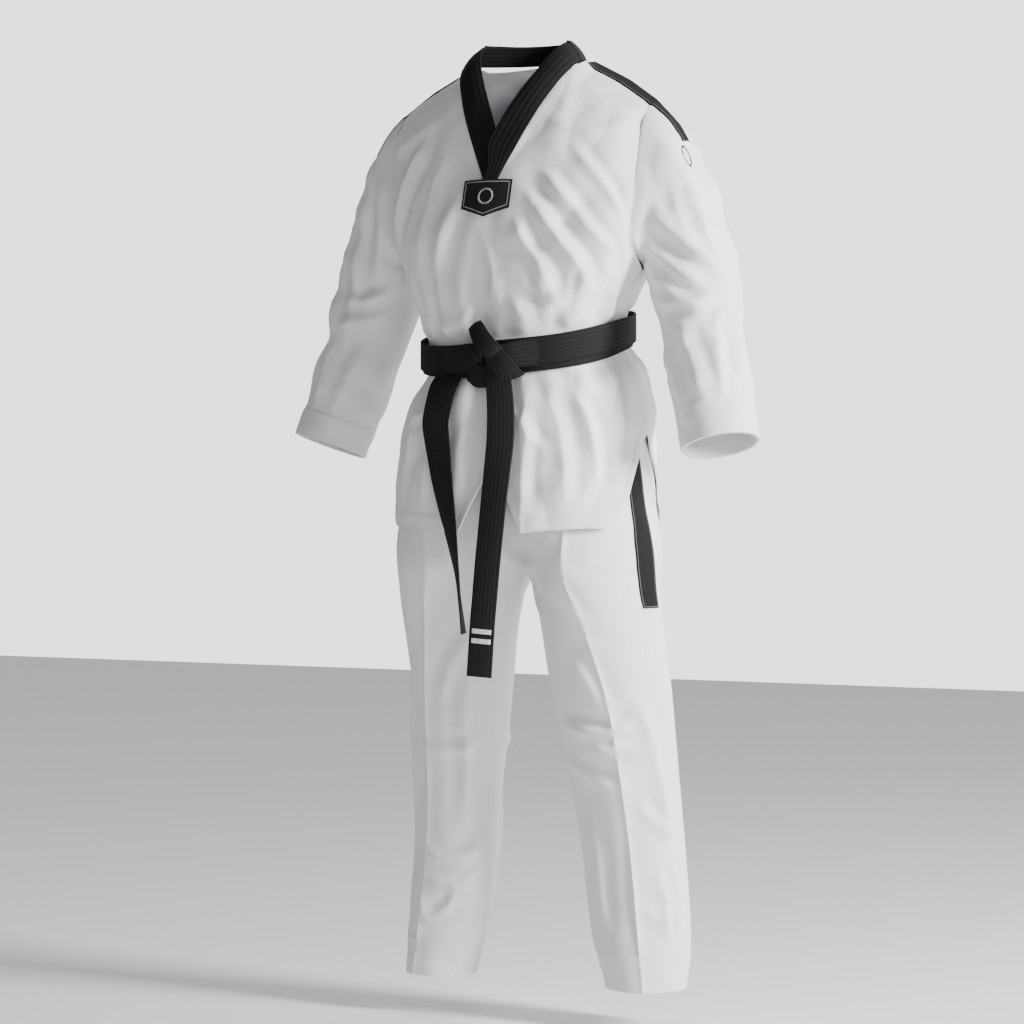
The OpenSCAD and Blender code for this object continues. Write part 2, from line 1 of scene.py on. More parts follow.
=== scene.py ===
"""Looks of a martial arts uniform, hung as if worn: jacket, trousers and knotted belt.

Metres, +Z up, the wearer faces -Y and the wearer's left side is +X. The origin is the
centre of the waistband's top edge. Every cloth piece is a grid of points on a curved
surface, shaped by folds and given its thickness.
"""
import math

import bpy
import numpy as np
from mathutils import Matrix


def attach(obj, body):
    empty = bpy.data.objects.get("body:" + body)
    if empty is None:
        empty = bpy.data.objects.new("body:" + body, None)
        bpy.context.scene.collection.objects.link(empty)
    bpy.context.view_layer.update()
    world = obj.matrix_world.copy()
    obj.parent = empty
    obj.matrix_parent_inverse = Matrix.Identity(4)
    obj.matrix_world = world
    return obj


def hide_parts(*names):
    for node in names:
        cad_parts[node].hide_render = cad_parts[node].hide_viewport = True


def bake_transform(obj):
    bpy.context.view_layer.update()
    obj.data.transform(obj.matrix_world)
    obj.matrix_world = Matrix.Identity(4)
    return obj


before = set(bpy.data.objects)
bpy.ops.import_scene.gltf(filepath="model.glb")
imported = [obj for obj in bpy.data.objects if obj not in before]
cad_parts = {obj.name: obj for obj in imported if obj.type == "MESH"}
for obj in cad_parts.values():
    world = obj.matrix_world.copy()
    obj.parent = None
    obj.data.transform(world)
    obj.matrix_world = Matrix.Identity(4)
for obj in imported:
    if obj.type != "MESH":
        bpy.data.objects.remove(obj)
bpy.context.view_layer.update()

MM = 0.001

# ---- camera -------------------------------------------------------------

VIEW_AZIMUTH = math.radians(27.0)
VIEW_DISTANCE = 5.0
EYE_Z = -0.173
AIM_Z = -0.268
AIM_SIDE = -0.027
FRAME_WIDTH = 1.587  # what the picture spans at the body's distance


def make_camera():
    toward = np.array([math.sin(VIEW_AZIMUTH), -math.cos(VIEW_AZIMUTH), 0.0])
    right = np.array([math.cos(VIEW_AZIMUTH), math.sin(VIEW_AZIMUTH), 0.0])
    data = bpy.data.cameras.new("camera")
    data.sensor_width = 36.0
    data.lens = data.sensor_width * VIEW_DISTANCE / FRAME_WIDTH
    data.clip_end = 60.0
    camera = bpy.data.objects.new("camera", data)
    bpy.context.scene.collection.objects.link(camera)
    camera.location = (*(toward[:2] * VIEW_DISTANCE + right[:2] * AIM_SIDE), EYE_Z)
    tilt = math.atan2(AIM_Z - EYE_Z, VIEW_DISTANCE)
    camera.rotation_euler = (math.pi / 2 + tilt, 0.0, VIEW_AZIMUTH)
    bpy.context.scene.camera = camera


make_camera()

# ---- numbers ------------------------------------------------------------


def ease(t):
    t = np.clip(t, 0.0, 1.0)
    return t * t * (3 - 2 * t)


def mix(a, b, t):
    return a + (b - a) * t


def unit(v):
    return v / np.maximum(np.linalg.norm(v, axis=-1, keepdims=True), 1e-12)


def curve(pairs, x, soft=0.007):
    """A table of (place, value) pairs, read at x with its corners rounded over soft."""
    places, values = np.array(pairs, float).T
    x = np.asarray(x, float)
    weights = (1, 4, 6, 4, 1)
    total = sum(w * np.interp(x + k * soft, places, values) for k, w in zip(range(-2, 3), weights))
    return total / sum(weights)


def distance_along(points):
    """The length from a line's first point to each of its points."""
    steps = np.linalg.norm(np.diff(points, axis=0), axis=1)
    return np.concatenate([[0], np.cumsum(steps)])


def read_at(s, along, values):
    """The values given along a line, read at the lengths s."""
    return np.stack([np.interp(s, along, column) for column in np.transpose(values)], -1)


def cat(*columns):
    return np.stack(np.broadcast_arrays(*columns), axis=-1)


def waves(points, seed, length, stretch=(1, 1, 1), count=14):
    """Smooth noise in space, about -1 to 1, with waves of roughly that length."""
    random = np.random.default_rng(seed)
    total = np.zeros(points.shape[:-1])
    for _ in range(count):
        way = unit(random.normal(size=3)) * np.array(stretch)
        size = length * random.uniform(0.7, 1.5)
        total += np.sin(points @ way * (2 * math.pi / size) + random.uniform(0, 2 * math.pi))
    return total / math.sqrt(count)


def creases(points, seed, length, stretch=(1, 1, 1)):
    """Smooth noise with sharp valleys, from -1 at a crease to 0, like pressed cotton."""
    return np.minimum(np.sqrt(waves(points, seed, length, stretch) ** 2 + 0.004), 1) - 1


def bulge(x, a, b, power=2.4):
    """Depth of a rounded section of half width a and half depth b, sideways at x."""
    k = np.clip(np.abs(x) / a, 0, 1)
    return b * (1 - k ** power) ** (1 / power)


# ---- building cloth -----------------------------------------------------


def grid_normals(p, wrap=False):
    if wrap:
        across = np.roll(p, -1, axis=1) - np.roll(p, 1, axis=1)
    else:
        across = np.gradient(p, axis=1)
    up = np.gradient(p, axis=0)
    return unit(np.cross(across, up))


def blurred(field, times, wrap=False):
    """The same grid of vectors or numbers, smoothed by its neighbours."""
    for _ in range(times):
        for axis in (0, 1):
            before = np.roll(field, 1, axis=axis)
            after = np.roll(field, -1, axis=axis)
            if axis == 0 or not wrap:
                first = [slice(None)] * field.ndim
                last = list(first)
                first[axis], last[axis] = 0, -1
                before[tuple(first)] = field[tuple(first)]
                after[tuple(last)] = field[tuple(last)]
            field = (before + 2 * field + after) / 4
    return field


class Cloth:
    """A grid of points p[row, column], with the outward normals n."""

    def __init__(self, points, wrap=False, smooth_normals=1):
        self.p = points
        self.wrap = wrap
        self.n = unit(blurred(grid_normals(points, wrap), smooth_normals, wrap))

    def raise_by(self, height, smooth_normals=1):
        return Cloth(self.p + self.n * np.asarray(height)[..., None], self.wrap, smooth_normals)

    def at(self, row, column, lift=0.0):
        """Points and normals at fractional rows and columns."""
        rows, columns = self.p.shape[:2]
        row, column = np.broadcast_arrays(np.asarray(row, float), np.asarray(column, float))
        row = np.clip(row, 0, rows - 1 - 1e-9)
        column = column % columns if self.wrap else np.clip(column, 0, columns - 1 - 1e-9)
        r, c = np.floor(row).astype(int), np.floor(column).astype(int)
        fr, fc = (row - r)[..., None], (column - c)[..., None]
        c1 = (c + 1) % columns

        def blend(g):
            low = mix(g[r, c], g[r, c1], fc)
            return mix(low, mix(g[r + 1, c], g[r + 1, c1], fc), fr)

        n = unit(blend(self.n))
        return blend(self.p) + n * np.asarray(lift, float)[..., None], n


def new_mesh(name, points, faces, material, uv=None, sharp=50.0, side=1):
    """A mesh object. With side -1 it is mirrored to the other side of the body."""
    mesh = bpy.data.meshes.new(name)
    points = np.asarray(points, float) * (side, 1, 1)
    faces = [list(map(int, f))[::side] for f in faces]
    mesh.from_pydata(points.tolist(), [], faces)
    if uv is not None:
        layer = mesh.uv_layers.new(name="cloth")
        flat = np.asarray(uv, np.float32)[:, ::side].reshape(-1)
        layer.data.foreach_set("uv", flat)
    mesh.polygons.foreach_set("use_smooth", [True] * len(mesh.polygons))
    mesh.set_sharp_from_angle(angle=math.radians(sharp))
    mesh.materials.append(material)
    piece = bpy.data.objects.new(name, mesh)
    bpy.context.scene.collection.objects.link(piece)
    return piece


def sheet_mesh(name, cloth, thickness, material, lift=0.0, side=1):
    """A closed sheet: the cloth's grid, its inner side and its rims."""
    p, n, wrap = cloth.p, cloth.n, cloth.wrap
    rows, columns = p.shape[:2]
    outer = (p + n * lift).reshape(-1, 3)
    inner = (p + n * (lift - thickness)).reshape(-1, 3)
    count = rows * columns
    cells = columns if wrap else columns - 1
    j, i = np.meshgrid(np.arange(rows - 1), np.arange(cells), indexing="ij")
    a = j * columns + i
    b = j * columns + (i + 1) % columns
    d, c = a + columns, b + columns
    front = np.stack([a, b, c, d], -1).reshape(-1, 4)
    back = np.stack([a, d, c, b], -1).reshape(-1, 4) + count
    i = np.arange(cells)
    a, b = i, (i + 1) % columns
    low = np.stack([a + count, b + count, b, a], -1)
    top = (rows - 1) * columns
    high = np.stack([a + top, b + top, b + top + count, a + top + count], -1)
    parts = [front, back, low, high]
    if not wrap:
        j = np.arange(rows - 1)
        a, d = j * columns, (j + 1) * columns
        parts.append(np.stack([a + count, a, d, d + count], -1))
        b, c = a + columns - 1, d + columns - 1
        parts.append(np.stack([b, b + count, c + count, c], -1))
    faces = np.concatenate(parts)
    along = np.linalg.norm(np.diff(p[rows // 2], axis=0), axis=1).mean()
    upward = np.linalg.norm(np.diff(p, axis=0), axis=2).mean(axis=1)
    v = np.concatenate([[0], np.cumsum(upward)])
    row, column = np.divmod(faces % count, columns)
    column = column.astype(float)
    if wrap:
        jump = (column.max(axis=1, keepdims=True) - column) > columns / 2
        column = column + jump * columns
    uv = np.stack([column * along, v[row]], -1)
    return new_mesh(name, np.concatenate([outer, inner]), faces, material, uv, side=side)


def boxes_mesh(name, centres, ways, normals, size, material, side=1):
    """Many small rounded bars in one mesh, such as the stitches of a seam."""
    length, width, height = size
    centres, ways, normals = (np.asarray(x, float).reshape(-1, 3) for x in (centres, ways, normals))
    ways = unit(ways)
    sides = unit(np.cross(normals, ways))
    corner = np.array([
        [-0.5, 0, 0], [-0.3, -0.5, 0.5], [-0.3, 0.5, 0.5],
        [0.3, -0.5, 0.5], [0.3, 0.5, 0.5], [0.5, 0, 0],
        [-0.3, 0, 1.0], [0.3, 0, 1.0], [0.0, 0, -0.6],
    ])
    shape = [(0, 1, 6), (0, 6, 2), (1, 3, 7, 6), (6, 7, 4, 2), (3, 5, 7), (7, 5, 4),
             (0, 2, 8), (2, 4, 8), (4, 5, 8), (5, 3, 8), (3, 1, 8), (1, 0, 8)]
    points = (centres[:, None] + corner[None, :, :1] * length * ways[:, None]
              + corner[None, :, 1:2] * width * sides[:, None]
              + corner[None, :, 2:] * height * normals[:, None])
    faces = [[v + 9 * k for v in f] for k in range(len(centres)) for f in shape]
    return new_mesh(name, points.reshape(-1, 3), faces, material, sharp=80.0, side=side)


TRIM_PITCH = 0.0036
TAPE_STITCH = (0.0027, 0.0006, 0.0003)
COLLAR_STITCH = (0.0027, 0.0007, 0.0004)
BELT_STITCH = (0.0030, 0.0007, 0.0004)


class Thread:
    """Gathers rows of stitches that are sewn with one thread on one piece."""

    def __init__(self):
        self.centres, self.ways, self.normals = [], [], []

    def row(self, points, normals, pitch=0.0042):
        points, normals = np.asarray(points, float), np.asarray(normals, float)
        along = distance_along(points)
        if along[-1] < 2 * pitch:
            return
        at = np.arange(pitch / 2, along[-1], pitch)
        self.centres.append(read_at(at, along, points))
        self.ways.append(read_at(at + pitch / 4, along, points) - read_at(at - pitch / 4, along, points))
        self.normals.append(unit(read_at(at, along, normals)))

    def mesh(self, name, material, size=(0.0031, 0.0008, 0.0004), side=1):
        return boxes_mesh(name, np.concatenate(self.centres), np.concatenate(self.ways),
                          np.concatenate(self.normals), size, material, side)


def fold(chart, line, height, width, side=0.5, end=0.3, period=0.0):
    """Heights of one fold along a line on a chart, a flat map of the cloth in metres.

    The crest is width across. Beside it, on the line's left, lies a hollow of side
    times its height. The fold dies away over the share end of its length."""
    line = np.asarray(line, float)
    along = distance_along(line)
    path = read_at(np.linspace(0, along[-1], 22), along, line)
    path[1:-1] = (path[:-2] + 2 * path[1:-1] + path[2:]) / 4
    total = np.zeros(chart.shape[:-1])
    for shift in ((0.0,) if not period else (-period, 0.0, period)):
        p = chart + (shift, 0.0)
        near = np.full(p.shape[:-1], 1e9)
        where = np.zeros(p.shape[:-1])
        signed = np.zeros(p.shape[:-1])
        for k in range(len(path) - 1):
            a, d = path[k], path[k + 1] - path[k]
            t = np.clip(((p - a) @ d) / (d @ d), 0, 1)
            away = p - a - t[..., None] * d
            distance = np.linalg.norm(away, axis=-1)
            left = np.sign(d[0] * away[..., 1] - d[1] * away[..., 0])
            closer = distance < near
            near = np.where(closer, distance, near)
            where = np.where(closer, (k + t) / (len(path) - 1), where)
            signed = np.where(closer, distance * left, signed)
        taper = ease(where / end) * ease((1 - where) / end)
        crest = np.exp(-(np.abs(signed) / width) ** 1.5)
        hollow = side * np.exp(-((signed - 1.7 * width) / width) ** 2)
        total += height * taper * (crest - hollow)
    return total


def folds(chart, rows, period=0.0):
    """The sum of folds, each given as (line, height mm, width mm, side)."""
    total = np.zeros(chart.shape[:-1])
    for line, height, width, side in rows:
        total += fold(chart, line, height * MM, width * MM, side, period=period)
    return total


# ---- finishes -----------------------------------------------------------


def finish_of(name, colour, roughness, weave=None, depth=0.0001, sheen=0.0, metal=0.0, grain=0.0):
    """A procedural finish. weave is (threads per metre across, threads per metre along)."""
    material = bpy.data.materials.new(name)
    material.use_nodes = True
    nodes, links = material.node_tree.nodes, material.node_tree.links
    shader = nodes["Principled BSDF"]
    shader.inputs["Base Color"].default_value = (*colour, 1.0)
    shader.inputs["Roughness"].default_value = roughness
    shader.inputs["Metallic"].default_value = metal
    shader.inputs["Sheen Weight"].default_value = sheen
    shader.inputs["Specular IOR Level"].default_value = 0.5 if metal else 0.2
    if weave:
        place = nodes.new("ShaderNodeUVMap")
        place.uv_map = "cloth"
        heights = []
        for way, count in zip(("X", "Y"), weave):
            if not count:
                continue
            wave = nodes.new("ShaderNodeTexWave")
            wave.bands_direction = way
            wave.inputs["Scale"].default_value = count / 3.18
            wave.inputs["Distortion"].default_value = 0.4
            wave.inputs["Detail"].default_value = 1.0
            wave.inputs["Detail Scale"].default_value = 0.3
            links.new(place.outputs["UV"], wave.inputs["Vector"])
            heights.append(wave.outputs["Fac"])
        if len(heights) == 2:
            both = nodes.new("ShaderNodeMath")
            both.operation = "MAXIMUM"
            links.new(heights[0], both.inputs[0])
            links.new(heights[1], both.inputs[1])
            heights = [both.outputs["Value"]]
        bump = nodes.new("ShaderNodeBump")
        bump.inputs["Distance"].default_value = depth
        bump.inputs["Strength"].default_value = 1.0
        links.new(heights[0], bump.inputs["Height"])
        if grain:
            place_3d = nodes.new("ShaderNodeTexCoord")
            noise = nodes.new("ShaderNodeTexNoise")
            noise.inputs["Scale"].default_value = 55.0
            noise.inputs["Detail"].default_value = 3.0
            links.new(place_3d.outputs["Object"], noise.inputs["Vector"])
            crumple = nodes.new("ShaderNodeBump")
            crumple.inputs["Distance"].default_value = grain
            crumple.inputs["Strength"].default_value = 1.0
            links.new(noise.outputs["Fac"], crumple.inputs["Height"])
            links.new(crumple.outputs["Normal"], bump.inputs["Normal"])
        links.new(bump.outputs["Normal"], shader.inputs["Normal"])
    return material


WHITE = finish_of("white_cotton_twill", (0.80, 0.81, 0.83), 0.86, (620, 620), 0.00006, 0.15, grain=0.0007)
LINING = finish_of("white_lining_twill", (0.76, 0.77, 0.80), 0.9, (620, 620), 0.00006, 0.1)
BLACK = finish_of("black_cotton_twill", (0.008, 0.008, 0.009), 0.9, (600, 600), 0.0001)
WEBBING = finish_of("black_ribbed_cotton_belt", (0.009, 0.009, 0.010), 0.88, (520, 620), 0.00016)
PATCH = finish_of("black_twill_patch", (0.012, 0.012, 0.013), 0.7, (500, 500), 0.0001)
GREY_THREAD = finish_of("grey_thread", (0.33, 0.34, 0.36), 0.6)
WHITE_THREAD = finish_of("white_thread", (0.80, 0.81, 0.83), 0.6)
BLACK_THREAD = finish_of("black_thread", (0.030, 0.030, 0.032), 0.5)
METAL = finish_of("nickel_eyelet", (0.60, 0.61, 0.63), 0.3, metal=1.0)


def settle(piece, body=None, bend=None, replaces=()):
    """Puts the piece on the body it rides on, or, when a bend is given, only bakes its transform without
    using the bend's bodies and points; hides what it stands for.
    """
    if bend:
        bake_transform(piece)
    else:
        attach(piece, body)
    if replaces:
        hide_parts(*replaces)
    return piece


def hand(side):
    return "left" if side > 0 else "right"


# ---- the jacket's body --------------------------------------------------

HEM_Z, VENT_Z, SLIT_Z, VEE_Z, NECK_Z = -0.300, -0.150, -0.189, 0.232, 0.425
NECK_HALF, SHOULDER_HALF, SHOULDER_Z, ARMPIT_Z = 0.100, 0.214, 0.357, 0.114
NECK_ANGLE = math.degrees(math.asin(NECK_HALF / SHOULDER_HALF))
CLOTH = 0.0022

LOW_W = [[-0.31, 0.214], [-0.22, 0.209], [-0.173, 0.206], [-0.127, 0.202], [-0.08, 0.190],
         [-0.056, 0.181], [-0.044, 0.168], [-0.032, 0.154], [0.024, 0.154], [0.036, 0.161],
         [0.059, 0.169], [0.08, 0.182], [0.114, 0.202]]
EDGE = LOW_W + [[0.24, 0.212], [0.357, 0.214], [0.445, 0.214]]
HALF_W = LOW_W + [[0.15, 0.218], [0.24, 0.231], [0.32, 0.226], [0.357, 0.214], [0.392, 0.164],
                  [0.425, 0.100], [0.445, 0.076]]
HALF_D = [[-0.31, 0.154], [-0.22, 0.152], [-0.127, 0.146], [-0.08, 0.139], [-0.056, 0.133],
          [-0.044, 0.127], [-0.032, 0.119], [0.024, 0.119], [0.036, 0.127], [0.08, 0.140],
          [0.15, 0.146], [0.177, 0.143], [0.236, 0.130], [0.298, 0.116], [0.33, 0.108],
          [0.357, 0.098], [0.392, 0.084], [0.425, 0.066], [0.445, 0.060]]
MID_Y = [[-0.3, -0.002], [0, -0.004], [0.15, -0.001], [0.236, 0.003], [0.298, 0.006],
         [0.36, 0.010], [0.425, 0.016]]
BELT_SHARE = [[-0.25, 0], [-0.06, 1], [0.036, 1], [0.112, 0]]


HIP_W = [[-0.366, 0.220], [-0.345, 0.218], [-0.30, 0.210], [-0.26, 0.204], [-0.22, 0.199],
         [-0.173, 0.192], [-0.127, 0.180], [-0.08, 0.158], [-0.06, 0.148], [-0.042, 0.143], [0, 0.143]]
HIP_D = [[-0.366, 0.134], [-0.30, 0.137], [-0.22, 0.136], [-0.173, 0.131], [-0.127, 0.125],
         [-0.08, 0.114], [-0.06, 0.110], [-0.042, 0.108], [0, 0.108]]
HIP_Y = [[-0.345, 0], [-0.173, -0.001], [0, -0.004]]


def follow_belt(p):
    share = curve(BELT_SHARE, p[..., 2])
    rise = share * (0.2 * p[..., 1] + 0.06 * p[..., 0])
    return p + cat(0 * rise, 0 * rise, rise)


def jacket_point(phi, z, facing, soft=0.007):
    x = np.sin(np.radians(phi)) * curve(EDGE, z, soft)
    half_w = np.maximum(curve(HALF_W, z, soft), np.abs(x))
    y = curve(MID_Y, z) + facing * bulge(x, half_w, curve(HALF_D, z, soft))
    return follow_belt(cat(x, y, z))


def shoulder_seam_z(x):
    """Height of the shoulder seam at x, and past its end of the sleeve's head."""
    return curve([[0.1, 0.425], [0.164, 0.392], [0.214, 0.357], [0.226, 0.320], [0.231, 0.240]],
                 np.abs(x), 0.003)


def shoulder_drop(x, ahead):
    """How far the front of the shoulder falls away, ahead of the seam."""
    return 0.5 * ahead * np.exp(-ahead / 0.04) * ease((np.abs(x) - 0.098) / 0.02)


def hip_point(phi, z, facing):
    a = curve(HIP_W, z)
    x = a * np.sin(np.radians(phi))
    return cat(x, curve(HIP_Y, z) + facing * bulge(x, a, curve(HIP_D, z)), z)


def hem_at(phi):
    a = np.abs(phi)
    return HEM_Z + 0.014 * ease(a / 50) + (VENT_Z - HEM_Z - 0.014) * ease((a - 52) / 38) ** 1.6


def front_bottom(phi):
    a = np.abs(phi)
    return np.where(a < 15, mix(SLIT_Z, HEM_Z, a / 15), hem_at(phi))


def front_top(phi):
    a = np.abs(phi)
    seam = shoulder_seam_z(np.sin(np.radians(a)) * SHOULDER_HALF)
    return np.where(a < NECK_ANGLE, mix(VEE_Z, NECK_Z - 0.003, a / NECK_ANGLE), seam)


def back_top(phi):
    a = np.abs(phi)
    seam = shoulder_seam_z(np.sin(np.radians(a)) * SHOULDER_HALF)
    return np.where(a < NECK_ANGLE, NECK_Z + 0.004 - 0.007 * ease(a / NECK_ANGLE), seam)


def chart_x(x):
    """Place on the body's chart of a point sideways at x."""
    return 0.2 * math.asin(max(-1, min(1, x / 0.213)))


def body_lines(*rows):
    return [([(chart_x(x * MM), z * MM) for x, z in line], h, w, s) for line, h, w, s in rows]


def belt_distance(p):
    """Height above the belt's middle line."""
    return p[..., 2] + 0.002 - 0.2 * p[..., 1] - 0.06 * p[..., 0]


def gathers(p, phi, seed, above, below):
    """Pleats that fan out from under the belt."""
    random = np.random.default_rng(seed)
    h = belt_distance(p)
    total = np.zeros(h.shape)
    for k in range(16):
        rate = random.uniform(9, 26)
        drift = random.uniform(-14, 14)
        total += np.sin(np.radians(phi) * rate + h * drift + random.uniform(0, 7)) / 4
    reach = np.where(h > 0, ease((h - 0.012) / 0.03) * np.exp(-np.maximum(h - 0.03, 0) / 0.05) * above,
                     ease((-h - 0.012) / 0.03) * np.exp(-np.maximum(-h - 0.03, 0) / 0.075) * below)
    return total * reach


FRONT_FOLDS = body_lines(
    # across the chest, from the foot of the V towards the side
    ([(40, 236), (92, 178), (150, 110), (186, 62)], 6.0, 12, 0.7),
    ([(66, 258), (118, 214), (166, 160), (200, 118)], 4.6, 10, 0.6),
    ([(34, 196), (70, 132), (118, 76), (150, 48)], 4.6, 11, 0.5),
    ([(110, 300), (150, 258), (186, 214), (206, 176)], 4.2, 10, 0.6),
    ([(58, 340), (98, 318), (148, 312), (196, 320)], 2.6, 12, 0.4),
    ([(-44, 226), (-78, 168), (-98, 96), (-104, 50)], 4.2, 13, 0.5),
    ([(-70, 300), (-104, 240), (-126, 160), (-130, 80)], 3.6, 14, 0.6),
    ([(-120, 330), (-158, 262), (-184, 190), (-196, 130)], 5.0, 13, 0.7),
    ([(-96, 360), (-132, 330), (-178, 306), (-206, 300)], 2.6, 12, 0.4),
    ([(-166, 120), (-170, 90), (-166, 56), (-150, 40)], 4.0, 10, 0.5),
    # blousing over the belt
    ([(28, 74), (70, 50), (112, 52), (150, 66)], 6.0, 11, 0.4),
    ([(70, 92), (110, 70), (156, 76), (184, 96)], 4.5, 10, 0.5),
    ([(-32, 62), (-68, 44), (-104, 40), (-134, 46)], 4.5, 10, 0.4),
    ([(4, 60), (10, 92), (2, 130), (-12, 160)], 3.0, 9, 0.5),
    # the skirt, below the belt
    ([(62, -60), (66, -120), (58, -200), (56, -290)], 3.4, 10, 0.5),
    ([(104, -50), (118, -110), (126, -190), (122, -270)], 4.0, 14, 0.5),
    ([(146, -46), (162, -110), (170, -180), (168, -240)], 4.6, 13, 0.6),
    ([(36, -56), (46, -96), (70, -140), (104, -172)], 2.8, 9, 0.4),
    ([(-96, -60), (-104, -120), (-116, -200), (-120, -286)], 4.6, 13, 0.6),
    ([(-140, -50), (-152, -110), (-166, -190), (-168, -260)], 5.0, 13, 0.6),
    ([(-58, -70), (-54, -130), (-60, -210), (-66, -290)], 2.8, 11, 0.4),
    ([(-112, -58), (-134, -86), (-160, -100), (-186, -110)], 3.0, 9, 0.5),
)
BACK_FOLDS = body_lines(
    ([(150, 310), (100, 250), (60, 180), (40, 110)], 4.5, 14, 0.6),
    ([(-150, 310), (-104, 246), (-70, 176), (-50, 100)], 4.5, 14, 0.6),
    ([(190, 220), (150, 160), (110, 90), (90, 50)], 5.0, 13, 0.6),
    ([(-190, 220), (-146, 156), (-110, 90), (-94, 50)], 5.0, 13, 0.6),
    ([(10, 330), (4, 250), (-8, 170), (-4, 90)], 2.8, 14, 0.4),
    ([(40, 70), (80, 56), (120, 62), (160, 84)], 5.0, 11, 0.4),
    ([(-36, 70), (-76, 52), (-120, 60), (-160, 84)], 5.0, 11, 0.4),
    ([(30, -60), (40, -130), (44, -210), (40, -290)], 4.5, 14, 0.6),
    ([(-36, -60), (-50, -130), (-52, -210), (-56, -290)], 4.5, 14, 0.6),
    ([(96, -56), (112, -120), (124, -200), (120, -280)], 5.0, 14, 0.6),
    ([(-100, -56), (-116, -120), (-124, -200), (-126, -280)], 5.0, 14, 0.6),
    ([(148, -56), (164, -110), (172, -180), (168, -240)], 4.5, 13, 0.6),
    ([(-150, -56), (-166, -110), (-172, -180), (-170, -240)], 4.5, 13, 0.6),
)


def held_down(p):
    """0 where the belt presses the cloth and 1 away from it."""
    return ease((np.abs(belt_distance(p)) - 0.016) / 0.022)


def body_panel(facing):
    columns, rows = 201, 191
    phi = np.linspace(-90, 90, columns) * (1 if facing < 0 else -1)
    low, high = (front_bottom(phi), front_top(phi)) if facing < 0 else (hem_at(phi), back_top(phi))
    v = np.linspace(0, 1, rows)[:, None]
    v = mix(v, 1 - (1 - v) ** 2, ease((v - 0.6) / 0.4))
    z = low + (high - low) * v
    phi = np.broadcast_to(phi, z.shape)
    p = jacket_point(phi, z, facing)
    if facing < 0:
        p[..., 2] -= shoulder_drop(p[..., 0], np.maximum(curve(MID_Y, z) - p[..., 1], 0))
    else:
        near = 0.85 * ease((np.abs(phi) - 50) / 25) * ease((-0.12 - z) / 0.06)
        hips = hip_point(phi, z, facing) * (1.022, 1.03, 1)
        p = mix(p, hips, near[..., None])
    if facing < 0:
        p[..., 0] += 0.010 * np.cos(np.radians(phi)) ** 4 * ease((-0.06 - z) / 0.08)
    cloth = Cloth(p, smooth_normals=6)
    chart = cat(np.radians(phi) * 0.2, z)
    height = folds(chart, FRONT_FOLDS if facing < 0 else BACK_FOLDS)
    height += gathers(p, phi, 11 if facing < 0 else 12, 0.0042, 0.0030)
    height += waves(p, 21, 0.11, (1, 1, 0.7)) * 0.0012 + waves(p, 22, 0.045, (1, 1, 0.8)) * 0.0003
    height += creases(p, 23 + facing, 0.10, (1, 1, 0.7)) * 0.0022
    edge = ease((90 - np.abs(phi)) / 14)
    height *= 1.5 * held_down(p) * mix(0.0, 1, edge)
    near_seam = ease((high - z) / 0.03) if facing > 0 else np.where(
        np.abs(phi) < NECK_ANGLE, ease((high - z) / 0.03), ease((high - z) / 0.02))
    height *= mix(0.2, 1, near_seam)
    if facing < 0:
        height *= mix(0.3, 1, ease((np.hypot(p[..., 0], (z - 0.205)) - 0.045) / 0.03))
        height *= mix(0.5, 1, ease((z - low) / 0.02))
        height += 0.0016 * np.exp(-((p[..., 0] - 0.062) / 0.0035) ** 2) * ease((-0.06 - z) / 0.05)
    height += 0.0009 * (1 - ease((z - low - 0.019) / 0.004))
    return cloth.raise_by(height), low, high


front_cloth, front_low, front_high = body_panel(-1)
back_cloth, back_low, back_high = body_panel(1)

jacket_front = settle(sheet_mesh("jacket_front_panel", front_cloth, CLOTH, WHITE), "jacket", replaces=(
    "jacket_front", "front_hem_facing_left", "front_hem_facing_right"))
jacket_back = settle(sheet_mesh("jacket_back_panel", back_cloth, CLOTH, WHITE), "jacket", replaces=(
    "jacket_back", "back_hem_facing"))


def rows_above(cloth, low, high, columns, up):
    """Row numbers at a height above the hem, for column numbers."""
    c = np.asarray(columns, float)
    span = np.interp(c, np.arange(len(low)), high - low)
    return up / span * (cloth.p.shape[0] - 1)  # the rows are evenly spaced near the hem


hem_thread = Thread()
for cloth, low, high in ((front_cloth, front_low, front_high), (back_cloth, back_low, back_high)):
    columns = np.linspace(2, cloth.p.shape[1] - 3, 500)
    for up in (0.003, 0.019, 0.022):
        if cloth is front_cloth:
            middle = (cloth.p.shape[1] - 1) / 2
            for part in (columns[columns < middle - 2], columns[columns > middle + 2]):
                hem_thread.row(*cloth.at(rows_above(cloth, low, high, part, up), part))
        else:
            hem_thread.row(*cloth.at(rows_above(cloth, low, high, columns, up), columns))
for cloth in (front_cloth, back_cloth):
    rows = np.linspace(3, cloth.p.shape[0] * 0.60, 300)
    for column in (1.6, cloth.p.shape[1] - 2.6):
        hem_thread.row(*cloth.at(rows, column))
settle(hem_thread.mesh("jacket_hem_stitches", WHITE_THREAD), "jacket")

# a doubled yoke inside the top of the back, seen through the neck
rows, columns = np.meshgrid(np.linspace(138, 189.6, 60), np.linspace(50, 150, 90), indexing="ij")
yoke = Cloth(back_cloth.at(rows, columns, -CLOTH - 0.0006)[0], smooth_normals=2)
settle(sheet_mesh("back_yoke_lining", yoke, 0.0012, LINING), "jacket", replaces=("back_yoke_facing",))

# ---- collar -------------------------------------------------------------

COLLAR_W, COLLAR_T = 0.046, 0.0034


def lapel_seam(t):
    p = jacket_point(mix(4, NECK_ANGLE, t), mix(VEE_Z + 0.006, NECK_Z - 0.004, t), -1)
    return p + (0, -0.0034, 0.0006)


def lapel_place(v):
    """Along the lapel; it starts a little below its seam, behind the patch."""
    return mix(-0.06, 1.0, v)


